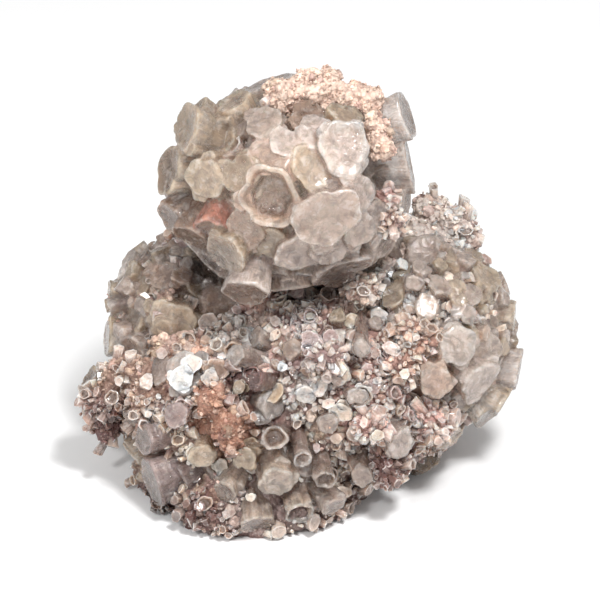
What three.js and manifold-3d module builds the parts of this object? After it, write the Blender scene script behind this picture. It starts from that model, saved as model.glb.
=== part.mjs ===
// An aragonite specimen: a ball of stout six-sided twin prisms standing on a broad mound of smaller
// ones, all grown together into one piece. Millimetres, +Z up, origin in the middle of the flat
// break that it rests on.
//
// Each burst is a cluster whose crystals stand out from one middle like spines. The crystals and
// the nodules of crust that give the specimen its look are listed one by one, by where the middle
// of the end face lies as seen from the front and FRONT_TILT above the horizon: how far right, up
// and near of the origin. The rest are spread evenly over what is left bare.
import * as THREE from "three";
import { mergeVertices } from "three/addons/utils/BufferGeometryUtils.js";
import Module from "manifold-3d";

const FRONT_TILT = THREE.MathUtils.degToRad(27);
const SEED = 20260;
const SIDES = 6; // an aragonite twin looks six-sided
const ROOT_WIDTH = 0.7; // a crystal's width at its root, as a share of its width at the end
const CUP_RIM = 0.8; // outer edge of a hollow end's dish, as a share of the crystal's width
const CUP_FLOOR = 0.56; // width of the dish's flat floor, as a share of the crystal's width
const CUP_DEPTH = 0.2; // a dish's depth, as a share of the crystal's width
const FINEST = 0.3; // details smaller than this are smoothed away
const SUNK = 4; // how far a crystal's root lies below the ball that it stands on
const LEAST_RISE = 1.6; // spread crystals end at least this far above the break
const CROWDING = 1.04; // 1 keeps neighbours a full width apart
const TRIES = 420; // places around a burst where a spread crystal may stand
const LEAN = 0.16; // how far a spread crystal may lean from straight out
const BARE_MARGIN = 1; // spread crystals end at least this far outside the other bursts' balls
const FLAT = "flat";
const CUP = "cup";

const RIGHT = new THREE.Vector3(1, 0, 0);
const UP = new THREE.Vector3(0, Math.sin(FRONT_TILT), Math.cos(FRONT_TILT));
const NEAR = new THREE.Vector3(0, -Math.cos(FRONT_TILT), Math.sin(FRONT_TILT));
const AXIS = new THREE.Vector3(0, 1, 0); // shapes are made along +Y, then stood up

// middle: [x, y, z]. core: radius of the ball that the crystals stand on. spread: how many places
// the unlisted crystals are tried at, with their reach from the middle and their width.
// crystals: [right, up, near], width, end, and the way it points if that isn't straight out.
// nodules: [right, up, near] of a nodule's middle, and its radius.
const BURSTS = [
  {
    name: "crown",
    middle: [-2, -5, 63],
    core: 16,
    spread: { reach: [20, 22], width: [10, 13] },
    crystals: [
      [[-22, 65.4, 46], 9.6, FLAT, [-0.84, 0.3, 0.45]],
      [[-25.6, 57, 42], 9.2, FLAT, [-0.9, 0.05, 0.42]],
      [[-18.6, 55, 49], 8, FLAT, [-0.6, -0.15, 0.78]],
      [[-21, 43.6, 42], 8, FLAT, [-0.42, -0.82, 0.38]],
      [[-25, 47, 37], 7.4, FLAT, [-0.7, -0.62, 0.35]],
      [[-15.4, 45, 47.6], 6.2, FLAT, [-0.2, -0.75, 0.62]],
      [[-11.4, 55.6, 53.4], 7.8, FLAT],
      [[-5.6, 51, 56.6], 11.4, CUP, [-0.14, -0.2, 0.97]],
      [[-12.8, 70.2, 46], 7.4, FLAT],
      [[-7, 66, 51.4], 7, FLAT],
      [[-3, 62, 54.4], 5.8, FLAT],
      [[-5.6, 59.4, 54.6], 7.8, FLAT],
      [[8.6, 60.4, 56], 9.8, FLAT, [0.32, 0.14, 0.94]],
      [[2.8, 57.2, 55], 8.8, FLAT],
      [[3.2, 64, 53], 6.8, FLAT],
      [[9, 67.6, 48.4], 6.4, FLAT],
      [[11, 51.6, 54.4], 7.4, FLAT],
      [[5.2, 47.2, 56.2], 11, CUP, [0.2, -0.3, 0.93]],
      [[0, 40.6, 50.6], 9, CUP, [0.02, -0.6, 0.8]],
      [[-5.6, 42.4, 50], 6.4, FLAT],
      [[5.8, 41.2, 50.4], 7.2, FLAT],
      [[-10.8, 32.4, 45], 9.4, FLAT, [-0.27, -0.93, 0.22]],
      [[-14.4, 40.4, 48.4], 8.6, FLAT, [-0.52, -0.6, 0.62]],
      [[-10.6, 45, 51.6], 7.6, FLAT, [-0.2, -0.52, 0.84]],
      [[20.8, 67.6, 41], 8.8, FLAT, [0.93, 0.33, 0.15]],
      [[21.6, 57.2, 39], 9.6, FLAT, [0.96, 0.06, 0.24]],
      [[20.6, 49.6, 39], 7.6, FLAT, [0.93, -0.22, 0.24]],
      [[16, 46.4, 47], 7.6, FLAT],
      [[17, 42.6, 42], 7.2, FLAT],
      [[11.6, 45.2, 51], 7.6, FLAT],
      [[1.6, 67.2, 49], 6.6, FLAT],
    ],
    nodules: [
      [[-3, 70.6, 45], 3.6],
      [[1.6, 72.4, 44], 4],
      [[5.4, 72.6, 42.6], 4],
      [[9.8, 71.2, 42.8], 3.8],
      [[13, 69.6, 42.6], 3.4],
      [[14.8, 65, 46], 3],
      [[15.6, 60.4, 47.6], 2.8],
    ],
  },
  {
    name: "left shoulder",
    middle: [-22.6, 4, 31],
    core: 12.5,
    spread: { reach: [14, 15.4], width: [8, 10.4] },
    crystals: [
      [[-28.6, 41.4, 15], 5.4, FLAT],
      [[-31.6, 36.4, 14], 6, FLAT],
      [[-26.4, 36.4, 22], 6.6, FLAT],
      [[-34, 31.4, 15], 6, FLAT],
      [[-24.6, 27, 26.6], 9.4, FLAT, [-0.12, -0.42, 0.9]],
      [[-33, 28, 20], 6.4, FLAT, [-0.8, 0.1, 0.6]],
      [[-38.8, 24.2, 13], 8, FLAT, [-0.93, 0.12, 0.34]],
      [[-33.4, 21.4, 21], 7.2, FLAT, [-0.62, -0.44, 0.65]],
    ],
    nodules: [
      [[-24, 44, 14], 3],
      [[-27, 30.4, 23.4], 3],
    ],
  },
  {
    name: "left foot",
    middle: [-17, -11, 19],
    core: 16.5,
    spread: { reach: [19.6, 21.6], width: [9, 12] },
    crystals: [
      [[-42.4, 15.2, 15], 7.4, FLAT, [-0.93, 0.25, 0.25]],
      [[-44, 11.2, 15], 6.4, FLAT, [-0.97, -0.1, 0.2]],
      [[-22.4, 17.6, 36], 9, FLAT, [-0.36, 0.4, 0.84]],
      [[-27.6, 18, 31], 6.4, FLAT],
      [[-33, 8, 26], 4.2, FLAT, [-0.5, -0.6, 0.6]],
      [[-24.4, 9.2, 38.4], 8.4, FLAT, [-0.24, -0.1, 0.96]],
      [[-29.6, 3, 29], 7.4, FLAT, [-0.86, -0.24, 0.42]],
      [[-27.6, -3.4, 26.6], 11, FLAT, [-0.74, -0.6, 0.3]],
      [[-19.4, 1, 37], 5.4, FLAT],
    ],
    nodules: [
      [[-37.6, 12, 19], 4.6],
      [[-38.6, 8, 16], 4],
      [[-31, 16.4, 24], 3.8],
      [[-30, 12.8, 28], 3.6],
      [[-35, 17.4, 20], 3.8],
      [[-17, 11.6, 37], 3.6],
      [[-13.6, 7, 39.4], 3.8],
      [[-20.4, -11, 25], 3.2],
    ],
  },
  {
    name: "toe",
    middle: [-7, -13, 14.5],
    core: 14.5,
    spread: { reach: [17.2, 19.2], width: [7.4, 10] },
    crystals: [
      [[-14.8, -6, 35], 7.2, CUP, [-0.42, -0.7, 0.6]],
      [[-8.2, -12.4, 34], 8.2, FLAT, [0, -0.87, 0.48]],
      [[-14.2, -11.8, 30], 6.4, FLAT, [-0.25, -0.87, 0.4]],
      [[-4, -4, 39], 8, FLAT, [0.2, -0.6, 0.77]],
      [[0, -10.4, 34], 7.2, CUP, [0.2, -0.7, 0.68]],
      [[-5, 5, 44], 6, CUP, [-0.12, -0.1, 0.98]],
      [[0.6, 0.4, 41.4], 5, CUP, [0.1, -0.5, 0.86]],
      [[5, -3.6, 38], 5.2, CUP, [0.1, -0.58, 0.82]],
      [[-10.6, 0.6, 39.6], 5.2, FLAT],
      [[6.6, -9, 33], 6, FLAT],
    ],
    nodules: [],
  },
  {
    name: "heart",
    middle: [5, -8, 21],
    core: 19.5,
    spread: { reach: [21.6, 23.4], width: [5.4, 7.8] },
    crystals: [
      [[12, 22, 41], 4.6, FLAT, [0, -0.5, 0.86]],
      [[0.6, 8.2, 45.4], 4.2, FLAT, [0.15, -0.72, 0.68]],
      [[-12.8, 21.2, 37.6], 5, FLAT],
      [[-9, 16, 40.4], 4.4, FLAT],
      [[11.4, 13, 42], 5.4, FLAT],
      [[20, 3.4, 35], 7, FLAT],
    ],
    nodules: [
      [[5, 20, 40], 3],
      [[14, 7, 38.6], 3],
    ],
  },
  {
    name: "right foot",
    middle: [17, -3, 17],
    core: 15.5,
    spread: { reach: [17, 18.6], width: [8, 10.4] },
    crystals: [[[12, -3, 33], 5.4, FLAT]],
    nodules: [
      [[17, -1, 30], 3.4],
      [[26, 7, 26], 3.4],
    ],
  },
  {
    name: "right wing",
    middle: [23.6, 1, 29],
    core: 16,
    spread: { reach: [18.4, 19.8], width: [6.4, 9.4] },
    crystals: [
      [[44, 17.8, 15], 7.8, FLAT, [0.98, -0.05, 0.15]],
      [[41.2, 11.4, 14], 8.6, FLAT, [0.85, -0.48, 0.2]],
      [[37.4, 8, 13], 7.6, FLAT, [0.6, -0.78, 0.15]],
      [[36, 15.6, 26], 9, FLAT],
      [[31.4, 22.6, 32], 8.4, FLAT, [0.3, -0.1, 0.95]],
      [[26.6, 15.6, 33], 7, FLAT],
      [[38, 28.6, 20], 7.4, FLAT],
      [[37.6, 22, 24], 7, FLAT],
      [[25, 30.4, 32], 5.4, FLAT],
    ],
    nodules: [
      [[22.6, 24.6, 31.6], 3.6],
      [[20, 19, 33], 3.2],
      [[12, 33.6, 32.4], 3.4],
    ],
  },
  {
    name: "right shoulder",
    middle: [23, 8, 36],
    core: 12.5,
    spread: { reach: [13.6, 15], width: [8, 10.4] },
    crystals: [
      [[24.4, 41.6, 24], 7, FLAT],
      [[29, 37, 23], 6, FLAT, [-0.2, -0.3, 0.93]],
      [[35, 37, 13], 6.6, FLAT],
    ],
    nodules: [
      [[26, 49.4, 12], 3.6],
      [[29.6, 47, 13], 3.6],
      [[32.6, 43.4, 12], 3.2],
    ],
  },
  {
    name: "nape",
    middle: [-1, 12, 46],
    core: 14.5,
    spread: { reach: [17.6, 19.4], width: [9, 12] },
    crystals: [],
    nodules: [],
  },
  {
    name: "back left",
    middle: [-13, 17, 22],
    core: 17.5,
    spread: { reach: [20.4, 22.4], width: [11, 15] },
    crystals: [],
    nodules: [],
  },
  {
    name: "back right",
    middle: [13, 18, 21],
    core: 17.5,
    spread: { reach: [20.4, 22.4], width: [11, 15] },
    crystals: [],
    nodules: [],
  },
];

// The plain rock that joins the bursts: the middle [x, y, z] and the half width along each.
const ROCK = [
  { middle: [-9, -7, 4], half: [24, 28, 12] },
  { middle: [3, 11, 6], half: [28, 25, 13] },
  { middle: [0, 8, 27], half: [28, 22, 18] },
];

const wasm = await Module();
wasm.setup();

const draw = (() => {
  let state = SEED;
  return (low = 0, high = 1) => {
    state = (Math.imul(state, 1664525) + 1013904223) >>> 0;
    return low + ((high - low) * state) / 2 ** 32;
  };
})();

// A vector given as seen from the front.
function seen([right, up, near]) {
  return new THREE.Vector3()
    .addScaledVector(RIGHT, right)
    .addScaledVector(UP, up)
    .addScaledVector(NEAR, near);
}

// A closed mesh as a solid: vertices that meet are merged, and faces that vanish with them dropped.
function solid(geometry, matrix) {
  const bare = new THREE.BufferGeometry();
  bare.setAttribute("position", geometry.getAttribute("position"));
  bare.setIndex(geometry.index);
  bare.applyMatrix4(matrix);
  const merged = mergeVertices(bare, 1e-4);
  const corners = merged.index.array;
  const kept = [];
  for (let i = 0; i < corners.length; i += 3) {
    const [a, b, c] = corners.slice(i, i + 3);
    if (a !== b && b !== c && c !== a) kept.push(a, b, c);
  }
  const mesh = new wasm.Mesh({
    numProp: 3,
    vertProperties: merged.attributes.position.array,
    triVerts: new Uint32Array(kept),
  });
  return new wasm.Manifold(mesh);
}

// A crystal's side profile, from its root up its side and over its end to the axis.
function profile(width, length, end) {
  const r = width / 2;
  const points = [
    [0, 0],
    [r * ROOT_WIDTH, 0],
    [r, length],
  ];
  if (end === CUP) {
    const floor = length - width * CUP_DEPTH;
    points.push([r * CUP_RIM, length], [r * CUP_FLOOR, floor], [0, floor]);
  } else {
    points.push([0, length]);
  }
  return points.map(([x, y]) => new THREE.Vector2(x, y));
}

function crystalSolid({ tip, axis, length, width, end }) {
  const geometry = new THREE.LatheGeometry(profile(width, length, end), SIDES);
  const roll = new THREE.Quaternion().setFromAxisAngle(AXIS, draw(0, Math.PI / 3));
  const turn = new THREE.Quaternion().setFromUnitVectors(AXIS, axis).multiply(roll);
  const squash = draw(0.9, 1.12);
  const foot = tip.clone().addScaledVector(axis, -length);
  const scale = new THREE.Vector3(squash, 1, 1 / squash);
  return solid(geometry, new THREE.Matrix4().compose(foot, turn, scale));
}

function noduleSolid({ tip, axis, size }) {
  const scale = new THREE.Vector3(draw(0.85, 1.2), draw(0.85, 1.2), draw(0.85, 1.2));
  const roll = new THREE.Quaternion().setFromAxisAngle(AXIS, draw(0, Math.PI));
  const turn = new THREE.Quaternion().setFromUnitVectors(AXIS, axis).multiply(roll);
  const shape = new THREE.IcosahedronGeometry(size * 1.1);
  return solid(shape, new THREE.Matrix4().compose(tip, turn, scale));
}

// Directions spread evenly over a sphere along a spiral.
function spiral(index, count) {
  const height = 1 - (2 * (index + 0.5)) / count;
  const angle = index * Math.PI * (3 - Math.sqrt(5));
  const ring = Math.sqrt(1 - height ** 2);
  return new THREE.Vector3(ring * Math.cos(angle), ring * Math.sin(angle), height);
}

// Whether a point lies in another burst, where a crystal would be out of sight.
function buried(point, own) {
  return BURSTS.some((burst) => {
    const away = point.distanceTo(new THREE.Vector3(...burst.middle));
    return burst !== own && away < burst.core + BARE_MARGIN;
  });
}

// A crystal or nodule with its end at tip, rooted in the ball that it stands on.
function rooted(burst, tip, axis, width, rest) {
  const reach = tip.distanceTo(new THREE.Vector3(...burst.middle));
  return { tip, axis, length: reach - burst.core + SUNK + width / 2, width, ...rest };
}

function listedCrystals(burst) {
  const middle = new THREE.Vector3(...burst.middle);
  return burst.crystals.map(([place, width, end, way]) => {
    const tip = seen(place);
    const axis = way ? seen(way) : tip.clone().sub(middle);
    return rooted(burst, tip, axis.normalize(), width, { end });
  });
}

function listedNodules(burst) {
  const middle = new THREE.Vector3(...burst.middle);
  return burst.nodules.map(([place, size]) => {
    const tip = seen(place);
    const axis = tip.clone().sub(middle).normalize();
    return { tip, axis, width: 2 * size, size };
  });
}

function spreadCrystals(burst, taken) {
  const middle = new THREE.Vector3(...burst.middle);
  const { reach, width } = burst.spread;
  const found = [];
  for (let i = 0; i < TRIES; i++) {
    const out = spiral(i, TRIES);
    const tip = middle.clone().addScaledVector(out, draw(...reach));
    const lean = new THREE.Vector3(draw(-1, 1), draw(-1, 1), draw(-1, 1));
    const axis = out.addScaledVector(lean, LEAN).normalize();
    const one = rooted(burst, tip, axis, draw(...width), { end: FLAT });
    const crowded = [...taken, ...found].some((other) => {
      return other.tip.distanceTo(tip) < ((other.width + one.width) / 2) * CROWDING;
    });
    if (tip.z > LEAST_RISE && !crowded && !buried(tip, burst)) found.push(one);
  }
  return found;
}

function coreSolid(burst) {
  const ball = new THREE.IcosahedronGeometry(burst.core, 1);
  return solid(ball, new THREE.Matrix4().makeTranslation(...burst.middle));
}

function rockSolid({ middle, half }) {
  const matrix = new THREE.Matrix4().makeTranslation(...middle);
  matrix.scale(new THREE.Vector3(...half));
  return solid(new THREE.IcosahedronGeometry(1, 1), matrix);
}

// Everything below the break, taken off flat.
function ground() {
  const depth = 60;
  const slab = new THREE.BoxGeometry(200, 200, depth);
  return solid(slab, new THREE.Matrix4().makeTranslation(0, 0, -depth / 2));
}

// The outer skin of a solid: pockets that the crystals close off inside are filled.
function skin(manifold) {
  return manifold.decompose().reduce((a, b) => (a.volume() > b.volume() ? a : b));
}

function geometryOf(manifold) {
  const mesh = manifold.getMesh();
  const geometry = new THREE.BufferGeometry();
  geometry.setAttribute("position", new THREE.BufferAttribute(mesh.vertProperties, 3));
  geometry.setIndex(new THREE.BufferAttribute(mesh.triVerts, 1));
  geometry.computeVertexNormals();
  return geometry;
}

const crystals = BURSTS.flatMap(listedCrystals);
const nodules = BURSTS.flatMap(listedNodules);
for (const burst of BURSTS) {
  crystals.push(...spreadCrystals(burst, [...crystals, ...nodules]));
}
const solids = [
  ...BURSTS.map(coreSolid),
  ...ROCK.map(rockSolid),
  ...crystals.map(crystalSolid),
  ...nodules.map(noduleSolid),
];
const grown = skin(wasm.Manifold.union(solids).subtract(ground()).simplify(FINEST));

const aragonite = new THREE.Mesh(
  geometryOf(grown),
  new THREE.MeshStandardMaterial({ color: 0xb4a394, roughness: 0.45, metalness: 0 }),
);
aragonite.name = "aragonite_cluster";

const specimen = new THREE.Group();
specimen.add(aragonite);
export default specimen;
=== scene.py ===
"""An aragonite specimen: a ball of stout six-sided twins on a mound of smaller ones.

Rock comes first. Large twins stand out of it in bursts, small ones and crumbs of iron-stained crust
cover what is left of it. Lengths are millimetres in the tables and metres in the finished meshes.
"""

import contextlib
import functools
import itertools
import math

import bmesh
import bpy
import numpy as np
from bpy.props import FloatProperty, FloatVectorProperty, IntProperty, PointerProperty
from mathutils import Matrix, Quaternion, Vector, noise
from mathutils.bvhtree import BVHTree


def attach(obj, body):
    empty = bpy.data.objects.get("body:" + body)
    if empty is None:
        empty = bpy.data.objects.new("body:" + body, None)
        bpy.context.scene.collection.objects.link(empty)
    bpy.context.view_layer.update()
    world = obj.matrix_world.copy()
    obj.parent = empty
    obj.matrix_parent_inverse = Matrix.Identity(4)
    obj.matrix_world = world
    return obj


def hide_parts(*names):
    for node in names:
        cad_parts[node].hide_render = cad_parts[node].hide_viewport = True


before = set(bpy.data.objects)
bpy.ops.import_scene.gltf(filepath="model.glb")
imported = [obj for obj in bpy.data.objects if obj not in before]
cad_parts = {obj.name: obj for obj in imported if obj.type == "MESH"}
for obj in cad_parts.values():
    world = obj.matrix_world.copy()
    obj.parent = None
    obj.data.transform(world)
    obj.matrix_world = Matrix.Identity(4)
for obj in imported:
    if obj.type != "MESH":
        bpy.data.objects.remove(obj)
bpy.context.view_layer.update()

bl_info = {
    "name": "Aragonite Specimen",
    "version": (1, 0, 0),
    "blender": (4, 5, 0),
    "location": "3D View > Sidebar > Specimen",
    "description": "Builds an intergrown cluster of aragonite twins with druse and stained crust",
    "category": "Object",
}

NODE = "aragonite_cluster"
MM = 0.001
FRONT_TILT = math.radians(27)
RIGHT = np.array([1.0, 0.0, 0.0])
UP = np.array([0.0, math.sin(FRONT_TILT), math.cos(FRONT_TILT)])
NEAR = np.array([0.0, -math.cos(FRONT_TILT), math.sin(FRONT_TILT)])

SEED = 20260
ROOT_WIDTH = 0.7  # a crystal's width at its root, as a share of its width at the end
SUNK = 4.0  # how far a crystal's root lies below the ball that it stands on
LEAST_RISE = 1.6  # spread crystals end at least this far above the break
CROWDING = 1.04  # 1 keeps neighbours a full width apart
TRIES = 420  # places around a burst where a spread crystal may stand
FILLER_TRIES = 700  # places around a burst where a lesser crystal may fill a gap
SMALL_TRIES = 9000  # places on the rock where a smaller crystal may stand
LUMP_TRIES = 26000  # places on the rock where a lump of crust may lie
CRUMB_TRIES = (90000, 120000)  # places for crumbs on the crust, and on the crystals as well
NO_WELD = 1e-7  # how near the cut a point counts as on it: far less than a facet
LEAN = 0.16  # how far a spread crystal may lean from straight out
SHY = 2.2  # how far the body of the crystals stays inside the rock
BARE_MARGIN = 1.0  # spread crystals end at least this far outside the other bursts' balls
LOWEST = 0.1  # small copies that would reach lower than this above the floor are left out
FRONT_STARTS, FRONT_FULL = -4, 10  # how near a point is where the front's zones start to tell
SIXTH = math.pi / 3
FLAT = "flat"
CUP = "cup"
PRISM = "prism"  # flat, and seen mostly from its side, so few others grow along it

# The rings that shape a crystal's end, of one a unit wide: the thickness and depth of each inset.
FLAT_RINGS = ((0.05, 0), (0.045, -0.018), (0.16, -0.012))
TWIN_RINGS = {
    FLAT: FLAT_RINGS,
    CUP: ((0.05, 0), (0.035, -0.06), (0.07, -0.22), (0.13, -0.03)),
    PRISM: FLAT_RINGS,
}
DRUSE_RINGS = {
    FLAT: ((0.06, 0.04), (0.14, -0.02)),
    CUP: ((0.08, 0.02), (0.08, -0.2)),
    PRISM: ((0.1, 0.06),),
}
ROUNDING = 11  # how sharp the corners between a crystal's sides are
HEAD = 0.6  # the share of a crystal's model that keeps its shape however long the crystal is
STEP_HALF = 0.012  # half the height of a growth step
SLIGHT = 0.001  # points this near a crystal's end count as on it

# Each burst: its name, its middle [x, y, z], the radius of the ball that its crystals stand on, and
# the (least, most) reach and width of the crystals spread over what is left bare.
BURSTS = [
    dict(zip(("name", "middle", "core", "reach", "width"), row))
    for row in (
        ("crown", (-2, -5, 63), 16, (20, 22), (10, 13)),
        ("left shoulder", (-22.6, 4, 31), 12.5, (14, 15.4), (6.4, 9)),
        ("left foot", (-17, -11, 19), 16.5, (19.6, 21.6), (9, 12)),
        ("toe", (-7, -13, 14.5), 14.5, (17.2, 19.2), (7.4, 10)),
        ("heart", (5, -8, 21), 19.5, (21.6, 23.4), (5.4, 7.8)),
        ("right foot", (17, -3, 17), 15.5, (17, 18.6), (8, 10.4)),
        ("right wing", (23.6, 1, 29), 16, (18.4, 19.8), (4.8, 7.6)),
        ("right shoulder", (23, 8, 36), 12.5, (13.6, 15), (8, 10.4)),
        ("nape", (-1, 12, 46), 14.5, (17.6, 19.4), (9, 12)),
        ("back left", (-13, 17, 22), 17.5, (20.4, 22.4), (11, 15)),
        ("back right", (13, 18, 21), 17.5, (20.4, 22.4), (11, 15)),
    )
]

# The crystals that are listed one by one: (right, up, near) of the end's middle, width and tint,
# and for those that aren't flat or don't point straight out, the end and the way it points.
CRYSTALS = {
    "crown": [
        ((-22, 65.4, 46), 9.6, "olive", FLAT, (-0.84, 0.3, 0.45)),
        ((-25.6, 57, 42), 9.2, "sand", PRISM, (-0.9, 0.05, 0.42)),
        ((-18.6, 55, 49), 8, "sand", FLAT, (-0.6, -0.15, 0.78)),
        ((-21, 43.6, 42), 8, "brown", PRISM, (-0.42, -0.82, 0.38)),
        ((-25, 47, 37), 7.4, "brown", PRISM, (-0.7, -0.62, 0.35)),
        ((-17, 44.8, 46.4), 7, "rose", PRISM, (-0.3, -0.85, 0.42)),
        ((-11.4, 55.6, 53.4), 7.8, "olive"),
        ((-5.6, 51, 56.6), 11.4, "peach", CUP, (-0.14, -0.2, 0.97)),
        ((-12.8, 70.2, 46), 7.4, "sand"),
        ((-7, 66, 51.4), 7, "grey"),
        ((-3, 62, 54.4), 5.8, "pale"),
        ((-5.6, 59.4, 54.6), 7.8, "peach"),
        ((8.6, 60.4, 56), 9.8, "pale", FLAT, (0.32, 0.14, 0.94)),
        ((2.8, 57.2, 55), 8.8, "sand"),
        ((3.2, 64, 53), 6.8, "pale"),
        ((9, 67.6, 48.4), 6.4, "sand"),
        ((11, 51.6, 54.4), 7.4, "clear"),
        ((5.2, 47.2, 56.2), 11, "grey", FLAT, (0.2, -0.3, 0.93)),
        ((0, 40.6, 50.6), 9, "grey", FLAT, (0.02, -0.6, 0.8)),
        ((-5.6, 42.4, 50), 6.4, "olive"),
        ((5.8, 41.2, 50.4), 7.2, "grey"),
        ((-10.8, 32.8, 45), 9.4, "clear", PRISM, (-0.25, -0.88, 0.4)),
        ((-14.4, 40.4, 48.4), 8.6, "olive", FLAT, (-0.52, -0.6, 0.62)),
        ((-10.6, 45, 51.6), 7.6, "brown", FLAT, (-0.2, -0.52, 0.84)),
        ((20.8, 67.6, 41), 8.8, "clear", PRISM, (0.93, 0.33, 0.15)),
        ((21.4, 58.2, 39), 9.6, "grey", PRISM, (0.96, 0.06, 0.24)),
        ((20.6, 49.6, 39), 7.6, "grey", PRISM, (0.93, -0.22, 0.24)),
        ((15, 48, 48), 5.4, "grey"),
        ((17, 42.6, 42), 7.2, "grey"),
        ((11.6, 45.2, 51), 7.6, "grey"),
        ((1.6, 67.2, 49), 6.6, "brown"),
    ],
    "left shoulder": [
        ((-28.6, 41.4, 15), 5.4, "grey"),
        ((-31.6, 36.4, 14), 6, "sand"),
        ((-26.4, 36.4, 22), 6.6, "peach"),
        ((-34, 31.4, 15), 6, "sand"),
        ((-24.6, 27, 26.6), 9.4, "sand", FLAT, (-0.12, -0.42, 0.9)),
        ((-33, 28, 20), 6.4, "olive", PRISM, (-0.8, 0.1, 0.6)),
        ((-38.8, 24.2, 13), 8, "olive", PRISM, (-0.93, 0.12, 0.34)),
        ((-33.4, 21.4, 21), 7.2, "grey", FLAT, (-0.62, -0.44, 0.65)),
    ],
    "left foot": [
        ((-42.4, 15.2, 15), 7.4, "olive", PRISM, (-0.93, 0.25, 0.25)),
        ((-44, 11.2, 15), 6.4, "peach", PRISM, (-0.97, -0.1, 0.2)),
        ((-22.4, 17.6, 35), 9, "pale", FLAT, (-0.36, 0.4, 0.84)),
        ((-27.6, 18, 31), 6.4, "grey"),
        ((-33, 8, 26), 4.2, "brown", FLAT, (-0.5, -0.6, 0.6)),
        ((-24.4, 9.2, 37.4), 5.4, "lilac", FLAT, (-0.4, -0.1, 0.9)),
        ((-30.8, 4.2, 30.4), 7, "lilac", PRISM, (-0.92, -0.14, 0.36)),
        ((-29.4, -4.2, 27.6), 9.4, "lilac", PRISM, (-0.88, -0.4, 0.26)),
        ((-19.4, 1, 37), 5.4, "sand"),
    ],
    "toe": [
        ((-14.8, -6, 35), 5.8, "cream", PRISM, (-0.42, -0.7, 0.6)),
        ((-8.2, -12.4, 34), 7.6, "cream", PRISM, (0, -0.87, 0.48)),
        ((-14.2, -11.8, 30), 6.4, "sand", PRISM, (-0.25, -0.87, 0.4)),
        ((-4, -4, 39), 8, "cream", FLAT, (0.2, -0.6, 0.77)),
        ((0, -10.4, 34), 7.2, "cream", CUP, (0.2, -0.7, 0.68)),
        ((-5, 5, 44), 6, "grey", CUP, (-0.12, -0.1, 0.98)),
        ((0.6, 0.4, 41.4), 4, "pale", CUP, (0.1, -0.5, 0.86)),
        ((5, -3.6, 38), 5.2, "grey", CUP, (0.1, -0.58, 0.82)),
        ((-10.6, 0.6, 39.6), 5.2, "sand"),
        ((6.6, -9, 33), 6, "grey"),
    ],
    "heart": [
        ((12, 22, 41), 4.6, "clear", FLAT, (0, -0.5, 0.86)),
        ((-12.8, 21.2, 37.6), 5, "pale"),
        ((-9, 16, 40.4), 4.4, "plum"),
        ((11.4, 13, 41.4), 4.6, "pale"),
        ((20, 3.4, 35), 7, "pale"),
    ],
    "right foot": [
        ((12, -3, 33), 5.4, "grey"),
    ],
    "right wing": [
        ((44, 17.8, 15), 7.8, "grey", PRISM, (0.98, -0.05, 0.15)),
        ((41.2, 11.4, 14), 8.6, "olive", PRISM, (0.85, -0.48, 0.2)),
        ((37.4, 8, 13), 7.6, "olive", PRISM, (0.6, -0.78, 0.15)),
        ((36, 15.6, 26), 9, "clear"),
        ((31.4, 22.6, 32), 8.4, "pale", FLAT, (0.3, -0.1, 0.95)),
        ((26.6, 15.6, 33), 7, "peach"),
        ((38, 28.6, 20), 7.4, "grey"),
        ((37.6, 22, 24), 7, "grey"),
        ((25, 30.4, 32), 5.4, "peach"),
    ],
    "right shoulder": [
        ((24.4, 41.6, 24), 7, "grey"),
        ((29, 37, 23), 6, "sand", FLAT, (-0.2, -0.3, 0.93)),
        ((35, 37, 13), 6.6, "sand"),
    ],
}

# The nodules of crust: (right, up, near) of the middle, and radius.
NODULES = [
    ((-3, 70.6, 45), 3.6),
    ((1.6, 72.4, 44), 4),
    ((5.4, 72.6, 42.6), 4),
    ((9.8, 71.2, 42.8), 3.8),
    ((13, 69.6, 42.6), 3.4),
    ((14.8, 65, 46), 3),
    ((15.6, 60.4, 47.6), 2.8),
    ((17, 51.4, 45.4), 2.2),
    ((17.4, 46.2, 43.6), 2.8),
    ((-24, 44, 14), 3),
    ((-27, 30.4, 23.4), 3),
    ((-37.6, 12, 19), 4.6),
    ((-38.6, 8, 16), 4),
    ((-31, 16.4, 24), 3.8),
    ((-30, 12.8, 28), 3.6),
    ((-35, 17.4, 20), 3.8),
    ((-17, 11.6, 37), 3.6),
    ((-13.6, 7, 39.4), 3.8),
    ((-20.4, -11, 25), 3.2),
    ((5, 20, 40), 3),
    ((14, 7, 38.6), 3),
    ((17, -1, 30), 3.4),
    ((26, 7, 26), 3.4),
    ((22.6, 24.6, 31.6), 3.6),
    ((20, 19, 33), 3.2),
    ((12, 33.6, 32.4), 3.4),
    ((26, 49.4, 12), 3.6),
    ((29.6, 47, 13), 3.6),
    ((32.6, 43.4, 12), 3.2),
]

# The plain rock that joins the bursts: the middle [x, y, z] and the half width along each.
ROCK = [
    ((-9, -7, 4), (24, 28, 12)),
    ((3, 11, 6), (28, 25, 13)),
    ((0, 8, 27), (28, 22, 18)),
]

# The bodies that the bursts' crystals are grown into: their bursts, how finely they are shaped and
# the most triangles each may have.
BODIES = {
    "crown_crystals": (["crown"], 0.3, 140000),
    "left_crystals": (["left shoulder", "left foot"], 0.36, 80000),
    "front_crystals": (["toe", "heart", "right foot"], 0.36, 70000),
    "right_crystals": (["right wing", "right shoulder"], 0.36, 75000),
    "back_crystals": (["nape", "back left", "back right"], 0.55, 45000),
}
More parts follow.
